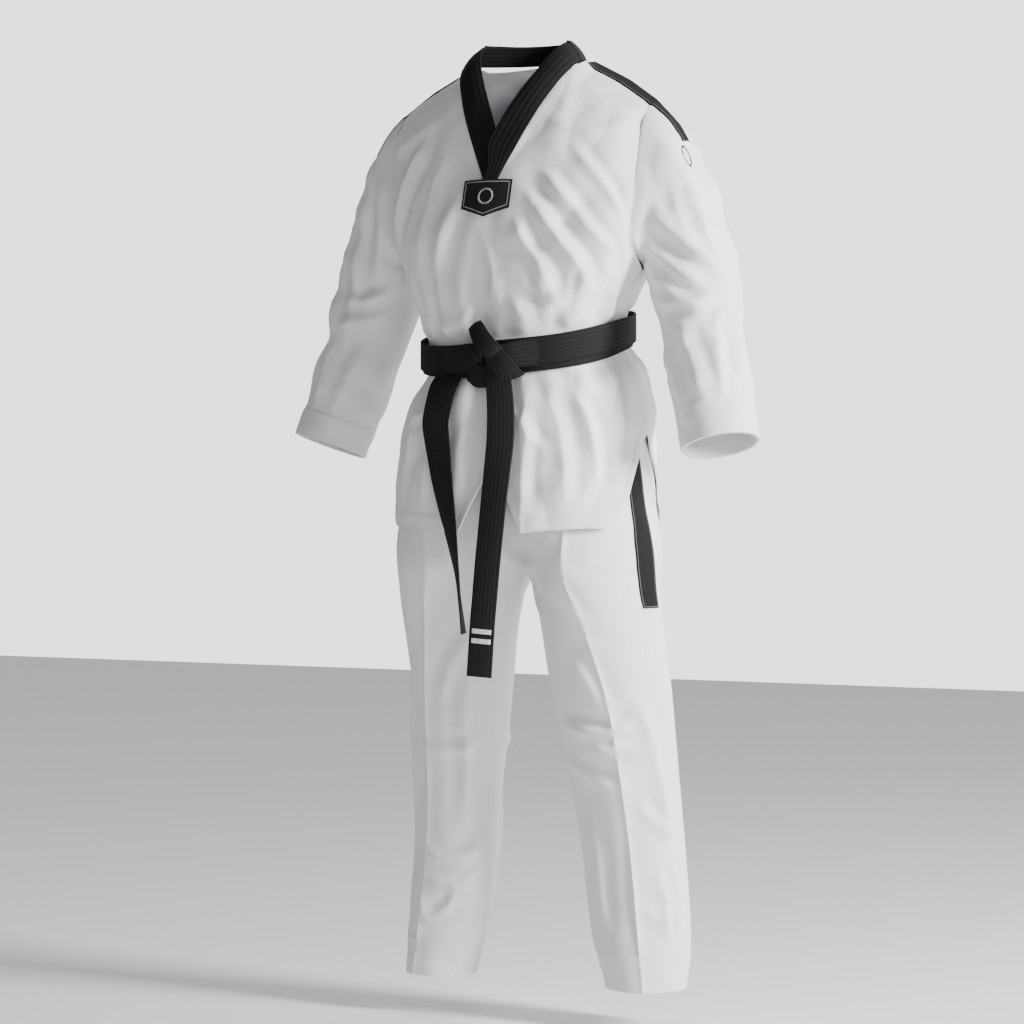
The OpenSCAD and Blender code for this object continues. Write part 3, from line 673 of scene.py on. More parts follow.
def lapel_edge(t):
    t = np.asarray(t, float)[..., None]
    flat = np.array([-0.93, 0.01, 0.36]) * COLLAR_W
    stand = np.array([-0.66, 0.22, 0.72]) * COLLAR_W
    return lapel_seam(t[..., 0]) + mix(flat, stand, ease((t - 0.45) / 0.55)) * mix(0.5, 1, ease(t / 0.25))


def stitched(cloth, across, depth=0.0007, rows=5):
    """Lengthwise quilting grooves; across is 0 to 1 over the band's width."""
    groove = np.zeros(cloth.p.shape[:2])
    for k in range(rows):
        groove -= np.exp(-((across - (k + 0.5) / rows) / 0.035) ** 2)
    edge = np.minimum(across, 1 - across)
    return cloth.raise_by(depth * (groove + 1) - 0.0016 * (1 - ease(edge / 0.035)), 1)


def lapel(side, lift):
    v = np.linspace(0, 1, 120)[:, None]
    u = np.linspace(0, 1, 49)[None, :]
    t = lapel_place(v[:, 0])
    low, high = lapel_seam(t)[:, None], lapel_edge(t)[:, None]
    p = mix(low, high, (1 - u)[..., None])
    p = p + np.array([0, -1, 0]) * (lift * (1 - ease((v - 0.55) / 0.35)))[..., None]
    roll = 0.004 * np.sin(math.pi * u) * ease((v - 0.35) / 0.4)
    cloth = Cloth(p, smooth_normals=3).raise_by(roll + 0.0004 * waves(p, 31 + side, 0.05))
    across = np.broadcast_to(1 - u, cloth.p.shape[:2])
    cloth = stitched(cloth, across)
    name = f"collar_{hand(side)}_lapel"
    piece = sheet_mesh(name + "_band", cloth, COLLAR_T, BLACK, side=side)
    settle(piece, "jacket", replaces=(name,))
    thread = Thread()
    for k in range(5):
        rows = np.linspace(1, 118, 260)
        thread.row(*cloth.at(rows, 48 * (1 - (k + 0.5) / 5), 0.0001), pitch=TRIM_PITCH)
    settle(thread.mesh(f"collar_{hand(side)}_stitches", BLACK_THREAD, COLLAR_STITCH, side), "jacket")
    return piece


right_lapel = lapel(-1, 0.0)
left_lapel = lapel(1, 0.0056)

t = np.radians(mix(0.0, 180.0, np.linspace(0, 1, 150)))[None, :]
seam_end, edge_end = lapel_seam(np.array(1.0)), lapel_edge(np.array(1.0))
low = cat(seam_end[0] * np.cos(t), seam_end[1] + 0.092 * np.sin(t), seam_end[2] + 0.005 * np.sin(t) + 0.002)
high = cat(edge_end[0] * np.cos(t), edge_end[1] + 0.074 * np.sin(t), edge_end[2] + 0.002 + 0.003 * np.sin(t))
v = np.linspace(0, 1, 45)[:, None]
band = Cloth(mix(low, high, v[..., None]), smooth_normals=3)
band = band.raise_by(0.003 * np.sin(math.pi * v) + 0.0005 * waves(band.p, 35, 0.06))
band = stitched(band, np.broadcast_to(v, band.p.shape[:2]))
collar_back = settle(sheet_mesh("collar_back_neckband", band, COLLAR_T, BLACK), "jacket",
                     replaces=("collar_back_band",))
thread = Thread()
for k in range(5):
    columns = np.linspace(1, 148, 320)
    thread.row(*band.at(44 * (k + 0.5) / 5, columns, 0.0001), pitch=TRIM_PITCH)
settle(thread.mesh("collar_back_stitches", BLACK_THREAD, COLLAR_STITCH), "jacket")

# ---- patch --------------------------------------------------------------

TILT = math.radians(16)
patch_base = jacket_point(np.array(0.0), np.array(VEE_Z), -1, 0.001) + (0, -0.011, 0.004)
patch_up = np.array([0, math.sin(TILT), math.cos(TILT)])
patch_out = np.array([0, -math.cos(TILT), math.sin(TILT)])


def on_patch(x, y, out):
    x, y, out = (np.asarray(k, float) for k in (x, y, out))
    bow = out - (x / 0.04) ** 2 * 0.0035
    across = x[..., None] * np.array([1.0, 0, 0])
    return patch_base + across + y[..., None] * patch_up + bow[..., None] * patch_out


PATCH_HALF_W, PATCH_SIDE, PATCH_FOOT = 0.0405, -0.045, -0.059
FOOT_INSET = 1.06  # how fast the slanted foot moves in with the inset


def shield(inset, columns=61, rows=41):
    """A grid over the shield, inset from its outline."""
    x = np.linspace(-1, 1, columns)[None, :]
    v = np.linspace(0, 1, rows)[:, None]
    bottom = mix(PATCH_FOOT, PATCH_SIDE, np.abs(x)) + FOOT_INSET * inset
    return x * (PATCH_HALF_W - inset) + 0 * v, mix(bottom, -inset, v)


px, py = shield(0.0)
patch_cloth = Cloth(on_patch(px, py, 0.0022 + 0 * px), smooth_normals=1)
settle(sheet_mesh("neck_shield_patch", patch_cloth, 0.0022, PATCH), "jacket", replaces=("neck_patch",))


def patch_path(inset):
    w = PATCH_HALF_W - inset
    foot = PATCH_FOOT + FOOT_INSET * inset
    side = PATCH_SIDE + FOOT_INSET * inset
    corners = np.array([[-w, -inset], [-w, side], [0, foot], [w, side], [w, -inset], [-w, -inset]])
    along = distance_along(corners)
    return read_at(np.linspace(0, along[-1], 400), along, corners)


border = Thread()
for inset in (0.0035, 0.0041):
    path = patch_path(inset)
    border.row(on_patch(path[:, 0], path[:, 1], 0.0022 + 0 * path[:, 0]),
               np.tile(patch_out, (len(path), 1)), 0.0026)
settle(border.mesh("neck_patch_border", GREY_THREAD, (0.0026, 0.0007, 0.0004)), "jacket")


def ring(name, place, inner, outer, material, node, count=96, **ties):
    """A ring of satin stitches. place(x, y, out) gives points on the cloth."""
    a = np.linspace(0, 2 * math.pi, count, endpoint=False)
    centre = (inner + outer) / 2
    c = place(np.cos(a) * centre, np.sin(a) * centre, 0 * a)
    ahead = place(np.cos(a) * outer, np.sin(a) * outer, 0 * a)
    normal = unit(place(np.cos(a) * centre, np.sin(a) * centre, 0 * a + 0.001) - c)
    width = 2 * math.pi * centre / count * 1.1
    piece = boxes_mesh(name, c, ahead - c, normal, (outer - inner, width, 0.0009), material)
    return settle(piece, replaces=(node,), **ties)


ring("neck_patch_ring", lambda x, y, out: on_patch(x, y - 0.027, out + 0.0022), 0.0098, 0.0132,
     GREY_THREAD, "neck_patch_emblem", body="jacket")

# ---- sleeves ------------------------------------------------------------

SLEEVE_MIDDLE = [(0, 0.214, 0.010, 0.236), (0.25, 0.250, 0.020, 0.150), (0.5, 0.277, 0.014, 0.056),
                 (0.75, 0.307, -0.010, -0.060), (1, 0.339, -0.036, -0.174)]
SLEEVE_R = [[0, 0.080], [0.25, 0.070], [0.5, 0.066], [0.8, 0.063], [1, 0.058]]
CUFF_T = 1 - 0.044 / 0.430
CAP_END = 0.32


def sleeve_mid(t):
    t = np.asarray(t, float)
    return np.stack([curve([(row[0], row[k]) for row in SLEEVE_MIDDLE], t, 0.05) for k in (1, 2, 3)], -1)


def sleeve_way(t):
    t = np.asarray(t, float)
    return unit(sleeve_mid(np.minimum(t + 0.08, 1)) - sleeve_mid(np.maximum(t - 0.08, 0)))


def armhole_point(a):
    c = np.cos(np.radians(a))
    s = np.sin(np.radians(a))
    z = mix(ARMPIT_Z - 0.005, SHOULDER_Z + 0.0012, (1 + c) / 2)
    x = curve(EDGE, z, 0.003)
    depth = bulge(x, np.maximum(curve(HALF_W, z, 0.003), x), curve(HALF_D, z, 0.003))
    return cat(x - 0.0030, curve(MID_Y, z) + np.tanh(s * 8) * depth, z)


def sleeve_ring_point(a, t):
    c, w = sleeve_mid(t), sleeve_way(t)
    back = unit(np.array([0, 1.0, 0]) - w * w[..., 1:2])
    out = np.cross(w, back)
    out = out * np.where(out[..., :1] < 0, -1, 1)
    r = curve(SLEEVE_R, t, 0.03)[..., None]
    return c + r * (np.cos(np.radians(a))[..., None] * out + np.sin(np.radians(a))[..., None] * back)


def sleeve_point(a, t):
    a, t = np.broadcast_arrays(np.asarray(a, float), np.asarray(t, float))
    start = armhole_point(a)
    end_t = np.full(a.shape, CAP_END)
    end = sleeve_ring_point(a, end_t)
    reach = np.linalg.norm(end - start, axis=-1, keepdims=True)
    up = ((1 + np.cos(np.radians(a))) / 2)[..., None]
    way = unit(mix(np.array([0.35, 0, -0.94]), np.array([0.75, 0, -0.66]), up)
               + np.abs(np.sin(np.radians(a)))[..., None] * np.array([0.7, 0, 0.3]))
    s = np.clip(t / CAP_END, 0, 1)[..., None]
    head = ((2 * s ** 3 - 3 * s * s + 1) * start + (s ** 3 - 2 * s * s + s) * reach * way
            + (3 * s * s - 2 * s ** 3) * end + (s ** 3 - s * s) * reach * sleeve_way(end_t))
    p = np.where(t[..., None] < CAP_END, head, sleeve_ring_point(a, t))
    side = curve(EDGE, p[..., 2], 0.003) + mix(-0.0030, 0.006, ease(t / 0.1))
    p[..., 0] = np.maximum(p[..., 0], side)
    return p


def sleeve_lines(*rows):
    """Folds as (angle, distance down the sleeve in mm) pairs."""
    return [([(math.radians(a) * 0.066, -d * MM) for a, d in line], h, w, s) for line, h, w, s in rows]


BEHIND_SLEEVE = (
    ([(20, 60), (24, 140), (30, 210), (34, 280)], 4.5, 15, 0.6),
    ([(70, 60), (84, 140), (100, 210), (96, 300)], 5.0, 14, 0.6),
    ([(120, 100), (110, 170), (80, 230), (50, 260)], 4.5, 12, 0.6),
)
SLEEVE_FOLDS = {
    1: sleeve_lines(
        ([(250, 40), (272, 96), (300, 150), (340, 190)], 6.0, 12, 0.7),
        ([(230, 66), (250, 130), (282, 186), (322, 226)], 5.5, 12, 0.7),
        ([(205, 110), (236, 168), (262, 214), (300, 250)], 5.0, 11, 0.7),
        ([(318, 40), (322, 100), (330, 160), (345, 220)], 4.5, 14, 0.5),
        ([(288, 60), (296, 110), (312, 160), (332, 200)], 3.6, 10, 0.5),
        ([(215, 196), (250, 226), (290, 236), (330, 228)], 5.0, 11, 0.6),
        ([(225, 236), (256, 262), (292, 276), (330, 280)], 4.0, 10, 0.6),
        ([(262, 250), (270, 300), (280, 350), (284, 384)], 4.4, 13, 0.6),
        ([(318, 240), (312, 300), (308, 350), (306, 384)], 4.0, 12, 0.6),
        ([(236, 280), (240, 330), (246, 384), (250, 388)], 3.6, 11, 0.6),
        *BEHIND_SLEEVE,
    ),
    -1: sleeve_lines(
        ([(262, 30), (256, 110), (250, 190), (262, 260)], 6.0, 14, 0.7),
        ([(300, 50), (290, 130), (278, 210), (270, 300)], 5.0, 13, 0.6),
        ([(228, 60), (226, 130), (240, 200), (262, 240)], 5.0, 12, 0.6),
        ([(330, 60), (326, 150), (318, 230), (300, 310)], 4.5, 15, 0.6),
        ([(206, 150), (232, 190), (262, 214), (300, 222)], 4.5, 11, 0.7),
        ([(210, 200), (240, 236), (276, 256), (312, 262)], 4.0, 11, 0.6),
        ([(236, 262), (246, 310), (252, 350), (250, 386)], 4.6, 13, 0.6),
        ([(292, 260), (294, 310), (292, 350), (288, 386)], 4.0, 12, 0.6),
        *BEHIND_SLEEVE,
    ),
}
SLEEVE_ROUND = math.radians(360) * 0.066


def sleeve_height(p, a, t, side):
    chart = cat(np.radians(a) * 0.066, -t * 0.430)
    height = folds(chart, SLEEVE_FOLDS[side], SLEEVE_ROUND)
    height += waves(p, 41 + side, 0.075) * 0.0016 + creases(p, 45 + side, 0.07) * 0.0020
    height *= mix(0.1, 1, ease(t / 0.12)) * mix(0.25, 1, ease((1.0 - t) / 0.16))
    return 1.4 * height * mix(0.3, 1, ease((p[..., 0] - curve(EDGE, p[..., 2]) - 0.004) / 0.02))


def sleeve_cloth(side, columns=132):
    """One grid from the armhole to the cuff's end, so that sleeve and cuff meet."""
    t = np.linspace(1, 0, 126)[:, None]
    a = np.linspace(0, 360, columns, endpoint=False)[None, :]
    p = sleeve_point(a, t)
    cloth = Cloth(p, True, smooth_normals=5)
    height = sleeve_height(p, a, t, side)
    height += 0.0011 * np.exp(-((t - 0.006) / 0.008) ** 2)
    return cloth.raise_by(height)


def sleeve_bend(side):
    """The jacket, the upper arm and two points on the arm, passed to settle as the sleeve's bend; settle
    only bakes the pieces' transforms.
    """
    return ("jacket", f"{hand(side)}_arm", (side * 0.1336, 0.010, -0.0566), (side * 0.2304, 0.010, -0.0977))


for side in (1, -1):
    whole = sleeve_cloth(side)
    cuff_row = int(round((1 - CUFF_T) * 125))
    tube = Cloth(whole.p[cuff_row - 1:], True)
    cuff = Cloth(whole.p[:cuff_row + 1], True)
    name = hand(side)
    piece = sheet_mesh(f"{name}_sleeve_tube", tube, CLOTH, WHITE, side=side)
    settle(piece, bend=sleeve_bend(side), replaces=(f"{name}_sleeve", f"{name}_sleeve_gusset"))
    cuff_piece = sheet_mesh(f"{name}_sleeve_turned_cuff", cuff, 0.0044, WHITE, 0.0012, side=side)
    settle(cuff_piece, f"{name}_arm", replaces=(f"{name}_sleeve_cuff",))
    thread = Thread()
    columns = np.linspace(0, 132, 500)
    for row in np.linspace(0.7, cuff_row - 0.3, 7):
        thread.row(*cuff.at(row, columns, 0.0012))
    settle(thread.mesh(f"{name}_cuff_stitches", WHITE_THREAD, side=side), f"{name}_arm")
    seam = Thread()
    for row in (123.0, 122.0):
        seam.row(*whole.at(row, columns))
    settle(seam.mesh(f"{name}_armhole_stitches", WHITE_THREAD, side=side), bend=sleeve_bend(side))

    # the tape over the top of the sleeve, and the one along the shoulder
    rows = np.linspace(125, 125 - 0.110 * 125, 40)[::-1]
    steps = 132 / 360 * mix(-21.0, 3.0, np.linspace(0, 1, 13))
    tape = Cloth(whole.at(rows[:, None], steps)[0], smooth_normals=2)
    piece = sheet_mesh(f"{name}_sleeve_top_tape", tape, 0.0026, BLACK, 0.0018, side=side)
    settle(piece, bend=sleeve_bend(side), replaces=(f"{name}_sleeve_tape",))
    thread = Thread()
    for column in (1.2, 10.8):
        thread.row(*tape.at(np.linspace(0.5, 38.5, 90), column, 0.0018), pitch=TRIM_PITCH)
    settle(thread.mesh(f"{name}_sleeve_tape_stitches", GREY_THREAD, TAPE_STITCH, side),
           bend=sleeve_bend(side))

    x = np.linspace(NECK_HALF + 0.004, SHOULDER_HALF + 0.0008, 70)[None, :]
    ahead = np.linspace(0.0235, -0.0035, 17)[:, None]
    depth = curve(HALF_D, shoulder_seam_z(x))
    reach = x / (1 - (np.abs(ahead) / depth) ** 2.4) ** (1 / 2.4)
    z = shoulder_seam_z(reach) - shoulder_drop(x, np.maximum(ahead, 0))
    ridge = cat(x + 0 * ahead, curve(MID_Y, shoulder_seam_z(x)) - ahead, z)
    tape = Cloth(ridge, smooth_normals=3)
    piece = sheet_mesh(f"{name}_shoulder_seam_tape", tape, 0.0028, BLACK, 0.0019, side=side)
    settle(piece, "jacket", replaces=(f"{name}_shoulder_tape",))
    thread = Thread()
    for row in (1.2, 14.8):
        thread.row(*tape.at(row, np.linspace(0.5, 68.5, 130), 0.0019), pitch=TRIM_PITCH)
    settle(thread.mesh(f"{name}_shoulder_tape_stitches", GREY_THREAD, TAPE_STITCH, side), "jacket")
    if side > 0:
        left_whole = whole


def on_sleeve(x, y, out):
    row = 125 - 0.14 * 125 + np.asarray(y) / 0.0034
    column = 335 / 360 * 132 + np.asarray(x) / 0.0033
    return left_whole.at(row, column, np.asarray(out) + 0.0002)[0]


ring("left_sleeve_ring_badge", on_sleeve, 0.0074, 0.0110, BLACK_THREAD, "left_sleeve_badge", 84,
     bend=sleeve_bend(1))

# ---- trousers -----------------------------------------------------------

WAIST_W, WAIST_D, BAND_H, LEG_END, CUFF_SEAM = 0.143, 0.108, 0.042, -1.000, -0.944
PANEL_LOW, PANEL_HIGH = CUFF_SEAM + 0.0005, -BAND_H - 0.001
LEG_SIDE = [[-1.0, 0.180], [-0.917, 0.168], [-0.778, 0.153], [-0.685, 0.144], [-0.545, 0.131],
            [-0.406, 0.118], [-0.35, 0.111]]
LEG_BACK = [[-1.0, 0.044], [-0.871, 0.052], [-0.778, 0.054], [-0.685, 0.044], [-0.545, 0.022],
            [-0.406, 0.002], [-0.35, 0]]
LEG_W = [[-1.0, 0.062], [-0.97, 0.068], [-0.93, 0.077], [-0.871, 0.079], [-0.778, 0.080],
         [-0.685, 0.084], [-0.545, 0.093], [-0.406, 0.099], [-0.35, 0.106]]
LEG_D = [[-1.0, 0.056], [-0.93, 0.060], [-0.778, 0.062], [-0.685, 0.066], [-0.545, 0.076],
         [-0.44, 0.094], [-0.35, 0.128]]


def leg_point(a, z, power=1.75):
    c, s = np.cos(np.radians(a)), np.sin(np.radians(a))
    w = (np.abs(c) ** power + np.abs(s) ** power) ** (-1 / power)
    x, y = curve(LEG_W, z, 0.02) * c * w, curve(LEG_D, z, 0.02) * s * w
    turn = np.radians(curve([[-0.56, 20], [-0.35, 0]], z, 0.03))
    return cat(curve(LEG_SIDE, z, 0.03) + x * np.cos(turn) - y * np.sin(turn),
               curve(LEG_BACK, z, 0.03) + x * np.sin(turn) + y * np.cos(turn), z)


def trouser_point(u, z, facing):
    """u is 0 at the middle of the body or the inner leg and 1 at the outer side."""
    hip = hip_point(mix(0, 90, u ** 1.35), z, facing)
    leg = leg_point(180 - facing * mix(0, 180, u), np.minimum(z, -0.30))
    leg[..., 2] = z
    gap = curve(LEG_SIDE, z, 0.03) - curve(LEG_W, z, 0.02)
    leg[..., 0] -= gap * (1 - ease((-0.345 - z) / 0.035)) * (1 - u) ** 3
    k = np.clip((-0.255 - z) / 0.108, 0, 1)
    inner = mix(k ** 2.2, ease(k), u)
    return mix(hip, leg, inner[..., None])


def leg_lines(*rows):
    """Folds as (share from the inner to the outer seam, height mm) pairs."""
    return [([(u * 0.28, z * MM) for u, z in line], h, w, s) for line, h, w, s in rows]


TROUSER_FOLDS = {
    (1, -1): leg_lines(
        ([(0.04, -380), (0.22, -420), (0.40, -500), (0.48, -590)], 4.0, 14, 0.6),
        ([(0.10, -330), (0.30, -350), (0.44, -400), (0.50, -450)], 3.6, 12, 0.6),
        ([(0.12, -585), (0.28, -598), (0.46, -604), (0.66, -590)], 5.0, 11, 0.7),
        ([(0.30, -622), (0.46, -632), (0.64, -628), (0.82, -610)], 4.2, 10, 0.6),
        ([(0.08, -640), (0.22, -664), (0.38, -680), (0.50, -684)], 3.2, 10, 0.6),
        ([(0.62, -520), (0.72, -600), (0.78, -700), (0.76, -800)], 3.8, 15, 0.6),
        ([(0.54, -700), (0.66, -740), (0.80, -760), (0.95, -750)], 2.8, 12, 0.6),
        ([(0.20, -700), (0.26, -780), (0.24, -860), (0.26, -930)], 3.2, 13, 0.6),
        ([(0.64, -800), (0.72, -860), (0.70, -900), (0.74, -940)], 3.0, 12, 0.5),
        ([(0.50, -870), (0.64, -890), (0.80, -892), (0.95, -880)], 3.0, 11, 0.6),
    ),
    (-1, -1): leg_lines(
        ([(0.04, -390), (0.20, -430), (0.34, -500), (0.42, -590)], 3.6, 13, 0.6),
        ([(0.10, -620), (0.26, -640), (0.42, -640), (0.60, -622)], 3.2, 11, 0.6),
        ([(0.06, -796), (0.22, -812), (0.40, -814), (0.56, -800)], 4.4, 11, 0.7),
        ([(0.08, -840), (0.22, -854), (0.38, -852), (0.52, -842)], 3.2, 10, 0.6),
        ([(0.20, -450), (0.24, -560), (0.22, -680), (0.26, -780)], 3.0, 15, 0.6),
        ([(0.64, -480), (0.72, -600), (0.70, -720), (0.74, -840)], 4.0, 15, 0.6),
        ([(0.22, -860), (0.30, -890), (0.42, -910), (0.56, -900)], 3.0, 11, 0.6),
        ([(0.84, -520), (0.82, -620), (0.86, -740), (0.84, -860)], 3.0, 13, 0.6),
    ),
    (1, 1): leg_lines(
        ([(0.10, -330), (0.30, -380), (0.48, -440), (0.60, -520)], 5.0, 14, 0.6),
        ([(0.14, -600), (0.34, -620), (0.56, -616), (0.80, -596)], 5.0, 12, 0.7),
        ([(0.14, -650), (0.34, -672), (0.56, -668), (0.78, -650)], 4.0, 12, 0.6),
        ([(0.26, -700), (0.30, -790), (0.28, -880), (0.30, -940)], 4.0, 14, 0.6),
        ([(0.72, -660), (0.74, -760), (0.70, -860), (0.74, -940)], 4.0, 14, 0.6),
        ([(0.20, -120), (0.30, -190), (0.34, -260), (0.30, -330)], 4.0, 15, 0.5),
    ),
    (-1, 1): leg_lines(
        ([(0.10, -330), (0.30, -380), (0.48, -440), (0.60, -520)], 5.0, 14, 0.6),
        ([(0.12, -610), (0.34, -632), (0.56, -620), (0.82, -606)], 5.0, 12, 0.7),
        ([(0.30, -690), (0.26, -790), (0.32, -880), (0.28, -940)], 4.0, 14, 0.6),
        ([(0.70, -670), (0.76, -760), (0.72, -860), (0.72, -940)], 4.0, 14, 0.6),
        ([(0.20, -120), (0.30, -190), (0.34, -260), (0.30, -330)], 4.0, 15, 0.5),
    ),
}


def leg_noise(p, side):
    return (waves(p, 51 + side, 0.12, (1, 1, 0.55)) * 0.0019
            + creases(p, 55 + side, 0.10, (1, 1, 0.6)) * 0.0022)


def leg_bend(side):
    return ("trousers", f"{hand(side)}_leg", (side * 0.15, 0, -0.345), (side * 0.15, 0, -0.550))


def trouser_panel(side, facing):
    columns, rows = 73, 241
    u = np.linspace(0, 1, columns)
    if facing > 0:
        u = u[::-1]
    z = np.linspace(PANEL_LOW, PANEL_HIGH, rows)[:, None]
    u, z = np.broadcast_arrays(u[None, :], z)
    p = trouser_point(u, z, facing)
    cloth = Cloth(p, smooth_normals=4)
    height = folds(cat(u * 0.28, z), TROUSER_FOLDS[side, facing])
    height = 1.5 * height + leg_noise(p, side)
    pleat = waves(p, 61 + side, 0.05, (1, 1, 0.12)) * 0.0016
    height += pleat * ease((z + 0.16) / 0.10)
    quiet = np.minimum(ease(u / 0.10), ease((1 - u) / 0.10))
    near_ends = mix(0.1, 1, ease((-z - BAND_H) / 0.04)) * mix(0.3, 1, ease((z - CUFF_SEAM) / 0.03))
    height *= quiet * near_ends
    crease = np.exp(-np.abs(u - 0.5) * 0.28 / 0.007)
    height *= 1 - 0.7 * crease
    height += 0.0042 * crease * ease((-0.10 - z) / 0.12)
    return cloth.raise_by(height)


for side in (1, -1):
    name = hand(side)
    seams = Thread()
    for facing, face in ((-1, "front"), (1, "back")):
        cloth = trouser_panel(side, facing)
        piece = sheet_mesh(f"{name}_trouser_{face}_panel", cloth, CLOTH, WHITE, side=side)
        nodes = [f"{name}_trouser_{face}_top", f"{name}_trouser_{face}_leg"]
        if (side, facing) == (1, -1):
            nodes.append("crotch_gusset")
        settle(piece, bend=leg_bend(side), replaces=nodes)
        rows = np.linspace(1, 239, 900)
        inner = (1.4, 3.2) if facing < 0 else (70.6, 68.8)
        outer = (70.4,) if facing < 0 else (1.6,)
        for column in inner + outer:
            seams.row(*cloth.at(rows, column))
        if facing < 0:
            front = cloth
    settle(seams.mesh(f"{name}_trouser_stitches", WHITE_THREAD, side=side), bend=leg_bend(side))

    rows = (np.linspace(-0.412, -0.180, 60) - PANEL_LOW) / (PANEL_HIGH - PANEL_LOW) * 240
    columns = mix(0.862, 0.972, np.linspace(0, 1, 13)) * 72
    tape = Cloth(front.at(rows[:, None], columns)[0], smooth_normals=2)
    piece = sheet_mesh(f"{name}_hip_side_tape", tape, 0.0024, BLACK, 0.0016, side=side)
    settle(piece, bend=leg_bend(side), replaces=(f"{name}_hip_tape", f"{name}_leg_tape"))
    thread = Thread()
    for column in (0.9, 11.1):
        thread.row(*tape.at(np.linspace(0.5, 58.5, 160), column, 0.0016), pitch=TRIM_PITCH)
    thread.row(*tape.at(0.6, np.linspace(0.9, 11.1, 30), 0.0016), pitch=TRIM_PITCH)
    settle(thread.mesh(f"{name}_hip_tape_stitches", GREY_THREAD, TAPE_STITCH, side), bend=leg_bend(side))

    z = np.linspace(LEG_END, CUFF_SEAM + 0.002, 22)[:, None]
    a = np.linspace(0, 360, 144, endpoint=False)[None, :]
    z, a = np.broadcast_arrays(z, a)
    p = leg_point(a, z)
    cuff = Cloth(p, True, smooth_normals=3)
    height = leg_noise(p, side) * 0.8
    for centre in (90, 270):
        height = height + 0.003 * np.exp(-np.abs(a - centre) * 0.0013 / 0.005)
    height = height + 0.0014 * waves(p, 71 + side, 0.05) * ease((-0.955 - z) / 0.04)
    cuff = cuff.raise_by(height)
    piece = sheet_mesh(f"{name}_leg_turned_cuff", cuff, 0.0042, WHITE, 0.0011, side=side)
    settle(piece, f"{name}_leg", replaces=(f"{name}_leg_cuff",))
    thread = Thread()
    columns = np.linspace(0, 144, 520)
    for row in np.linspace(0.8, 20.4, 9):
        thread.row(*cuff.at(row, columns, 0.0011))
    settle(thread.mesh(f"{name}_leg_cuff_stitches", WHITE_THREAD, side=side), f"{name}_leg")

# ---- waistband ----------------------------------------------------------


def waist_ring(inset, low, high, rows, pleats, columns=240):
    a = np.linspace(0, 2 * math.pi, columns, endpoint=False)[None, :]
    z = np.linspace(low, high, rows)[:, None]
    tuck = pleats * np.sin(a * 46 + 2 * np.sin(a * 5))
    x = (WAIST_W - inset + tuck) * np.cos(a) + 0 * z
    y = -0.004 + (WAIST_D - inset + tuck) * np.sin(a) + 0 * z
    return Cloth(cat(x, y, z + 0 * a), True, smooth_normals=1)


casing = waist_ring(0.0, -BAND_H, 0.0, 30, 0.0006)
band_rows = np.arange(30)[:, None] / 29
casing = casing.raise_by(-0.0007 * np.exp(-((band_rows - 0.5) / 0.05) ** 2) + 0 * casing.p[..., 0])
waistband = settle(sheet_mesh("waistband_casing", casing, 0.0058, WHITE), "trousers",
                   replaces=("waistband", "waistband_front", "waist_elastic"))
thread = Thread()
columns = np.linspace(0, 240, 900)
for row in (1.0, 9.5, 19.5, 28.0):
    thread.row(*casing.at(row, columns))
settle(thread.mesh("waistband_stitches", WHITE_THREAD), "trousers")
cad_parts["drawcord_eyelets"].data.materials.clear()
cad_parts["drawcord_eyelets"].data.materials.append(METAL)

# ---- belt ---------------------------------------------------------------

BELT_W, BELT_T = 0.044, 0.0034


def belt_point(a, out, h):
    half_w, half_d = 0.154 + out, 0.119 + out
    c, s = np.cos(np.radians(a)), np.sin(np.radians(a))
    w = (np.abs(c) ** 2.4 + np.abs(s) ** 2.4) ** (-1 / 2.4)
    x, y = half_w * c * w, -0.004 + half_d * s * w
    return cat(x, y, -0.002 + h + 0.2 * y + 0.06 * x)


def band_profile(across, height=0.0005, rows=7):
    """Lengthwise stitch grooves across a band; across is -1 to 1."""
    k = (across + 1) / 2 * rows
    groove = np.exp(-((k - np.round(k)) / 0.14) ** 2)
    return -height * groove - 0.0010 * (1 - ease((1 - np.abs(across)) / 0.06))


def belt_rows(thread, cloth, rows, lines=7, wrap=False):
    """Stitches in the grooves of a band whose columns run along it."""
    length = cloth.p.shape[1]
    columns = np.linspace(0 if wrap else 0.6, length if wrap else length - 1.6, length * 3)
    for k in range(1, lines):
        thread.row(*cloth.at(k / lines * (rows - 1), columns, -0.00015), pitch=0.0040)


belt_thread = Thread()


def wrap_of(name, out, drop, node, seed):
    a = np.linspace(0, 360, 300, endpoint=False)[None, :]
    across = np.linspace(-1, 1, 43)[:, None]
    sag = 0.0016 * np.sin(np.radians(a) * 2 + seed) + 0.0009 * np.sin(np.radians(a) * 5 + seed)
    p = belt_point(a, out + 0.0006 * np.sin(np.radians(a) * 7 + seed), across * BELT_W / 2 - drop + sag)
    cloth = Cloth(p, True, smooth_normals=1).raise_by(band_profile(across) + 0 * a, 1)
    piece = sheet_mesh(name, cloth, BELT_T, WEBBING)
    settle(piece, "jacket", replaces=(node,))
    belt_rows(belt_thread, cloth, 43, wrap=True)
    return piece


inner_wrap = wrap_of("belt_first_wrap", 0.0094, 0.0085, "belt_inner_wrap", 1.0)
outer_wrap = wrap_of("belt_second_wrap", 0.0139, 0.0, "belt_outer_wrap", 2.6)


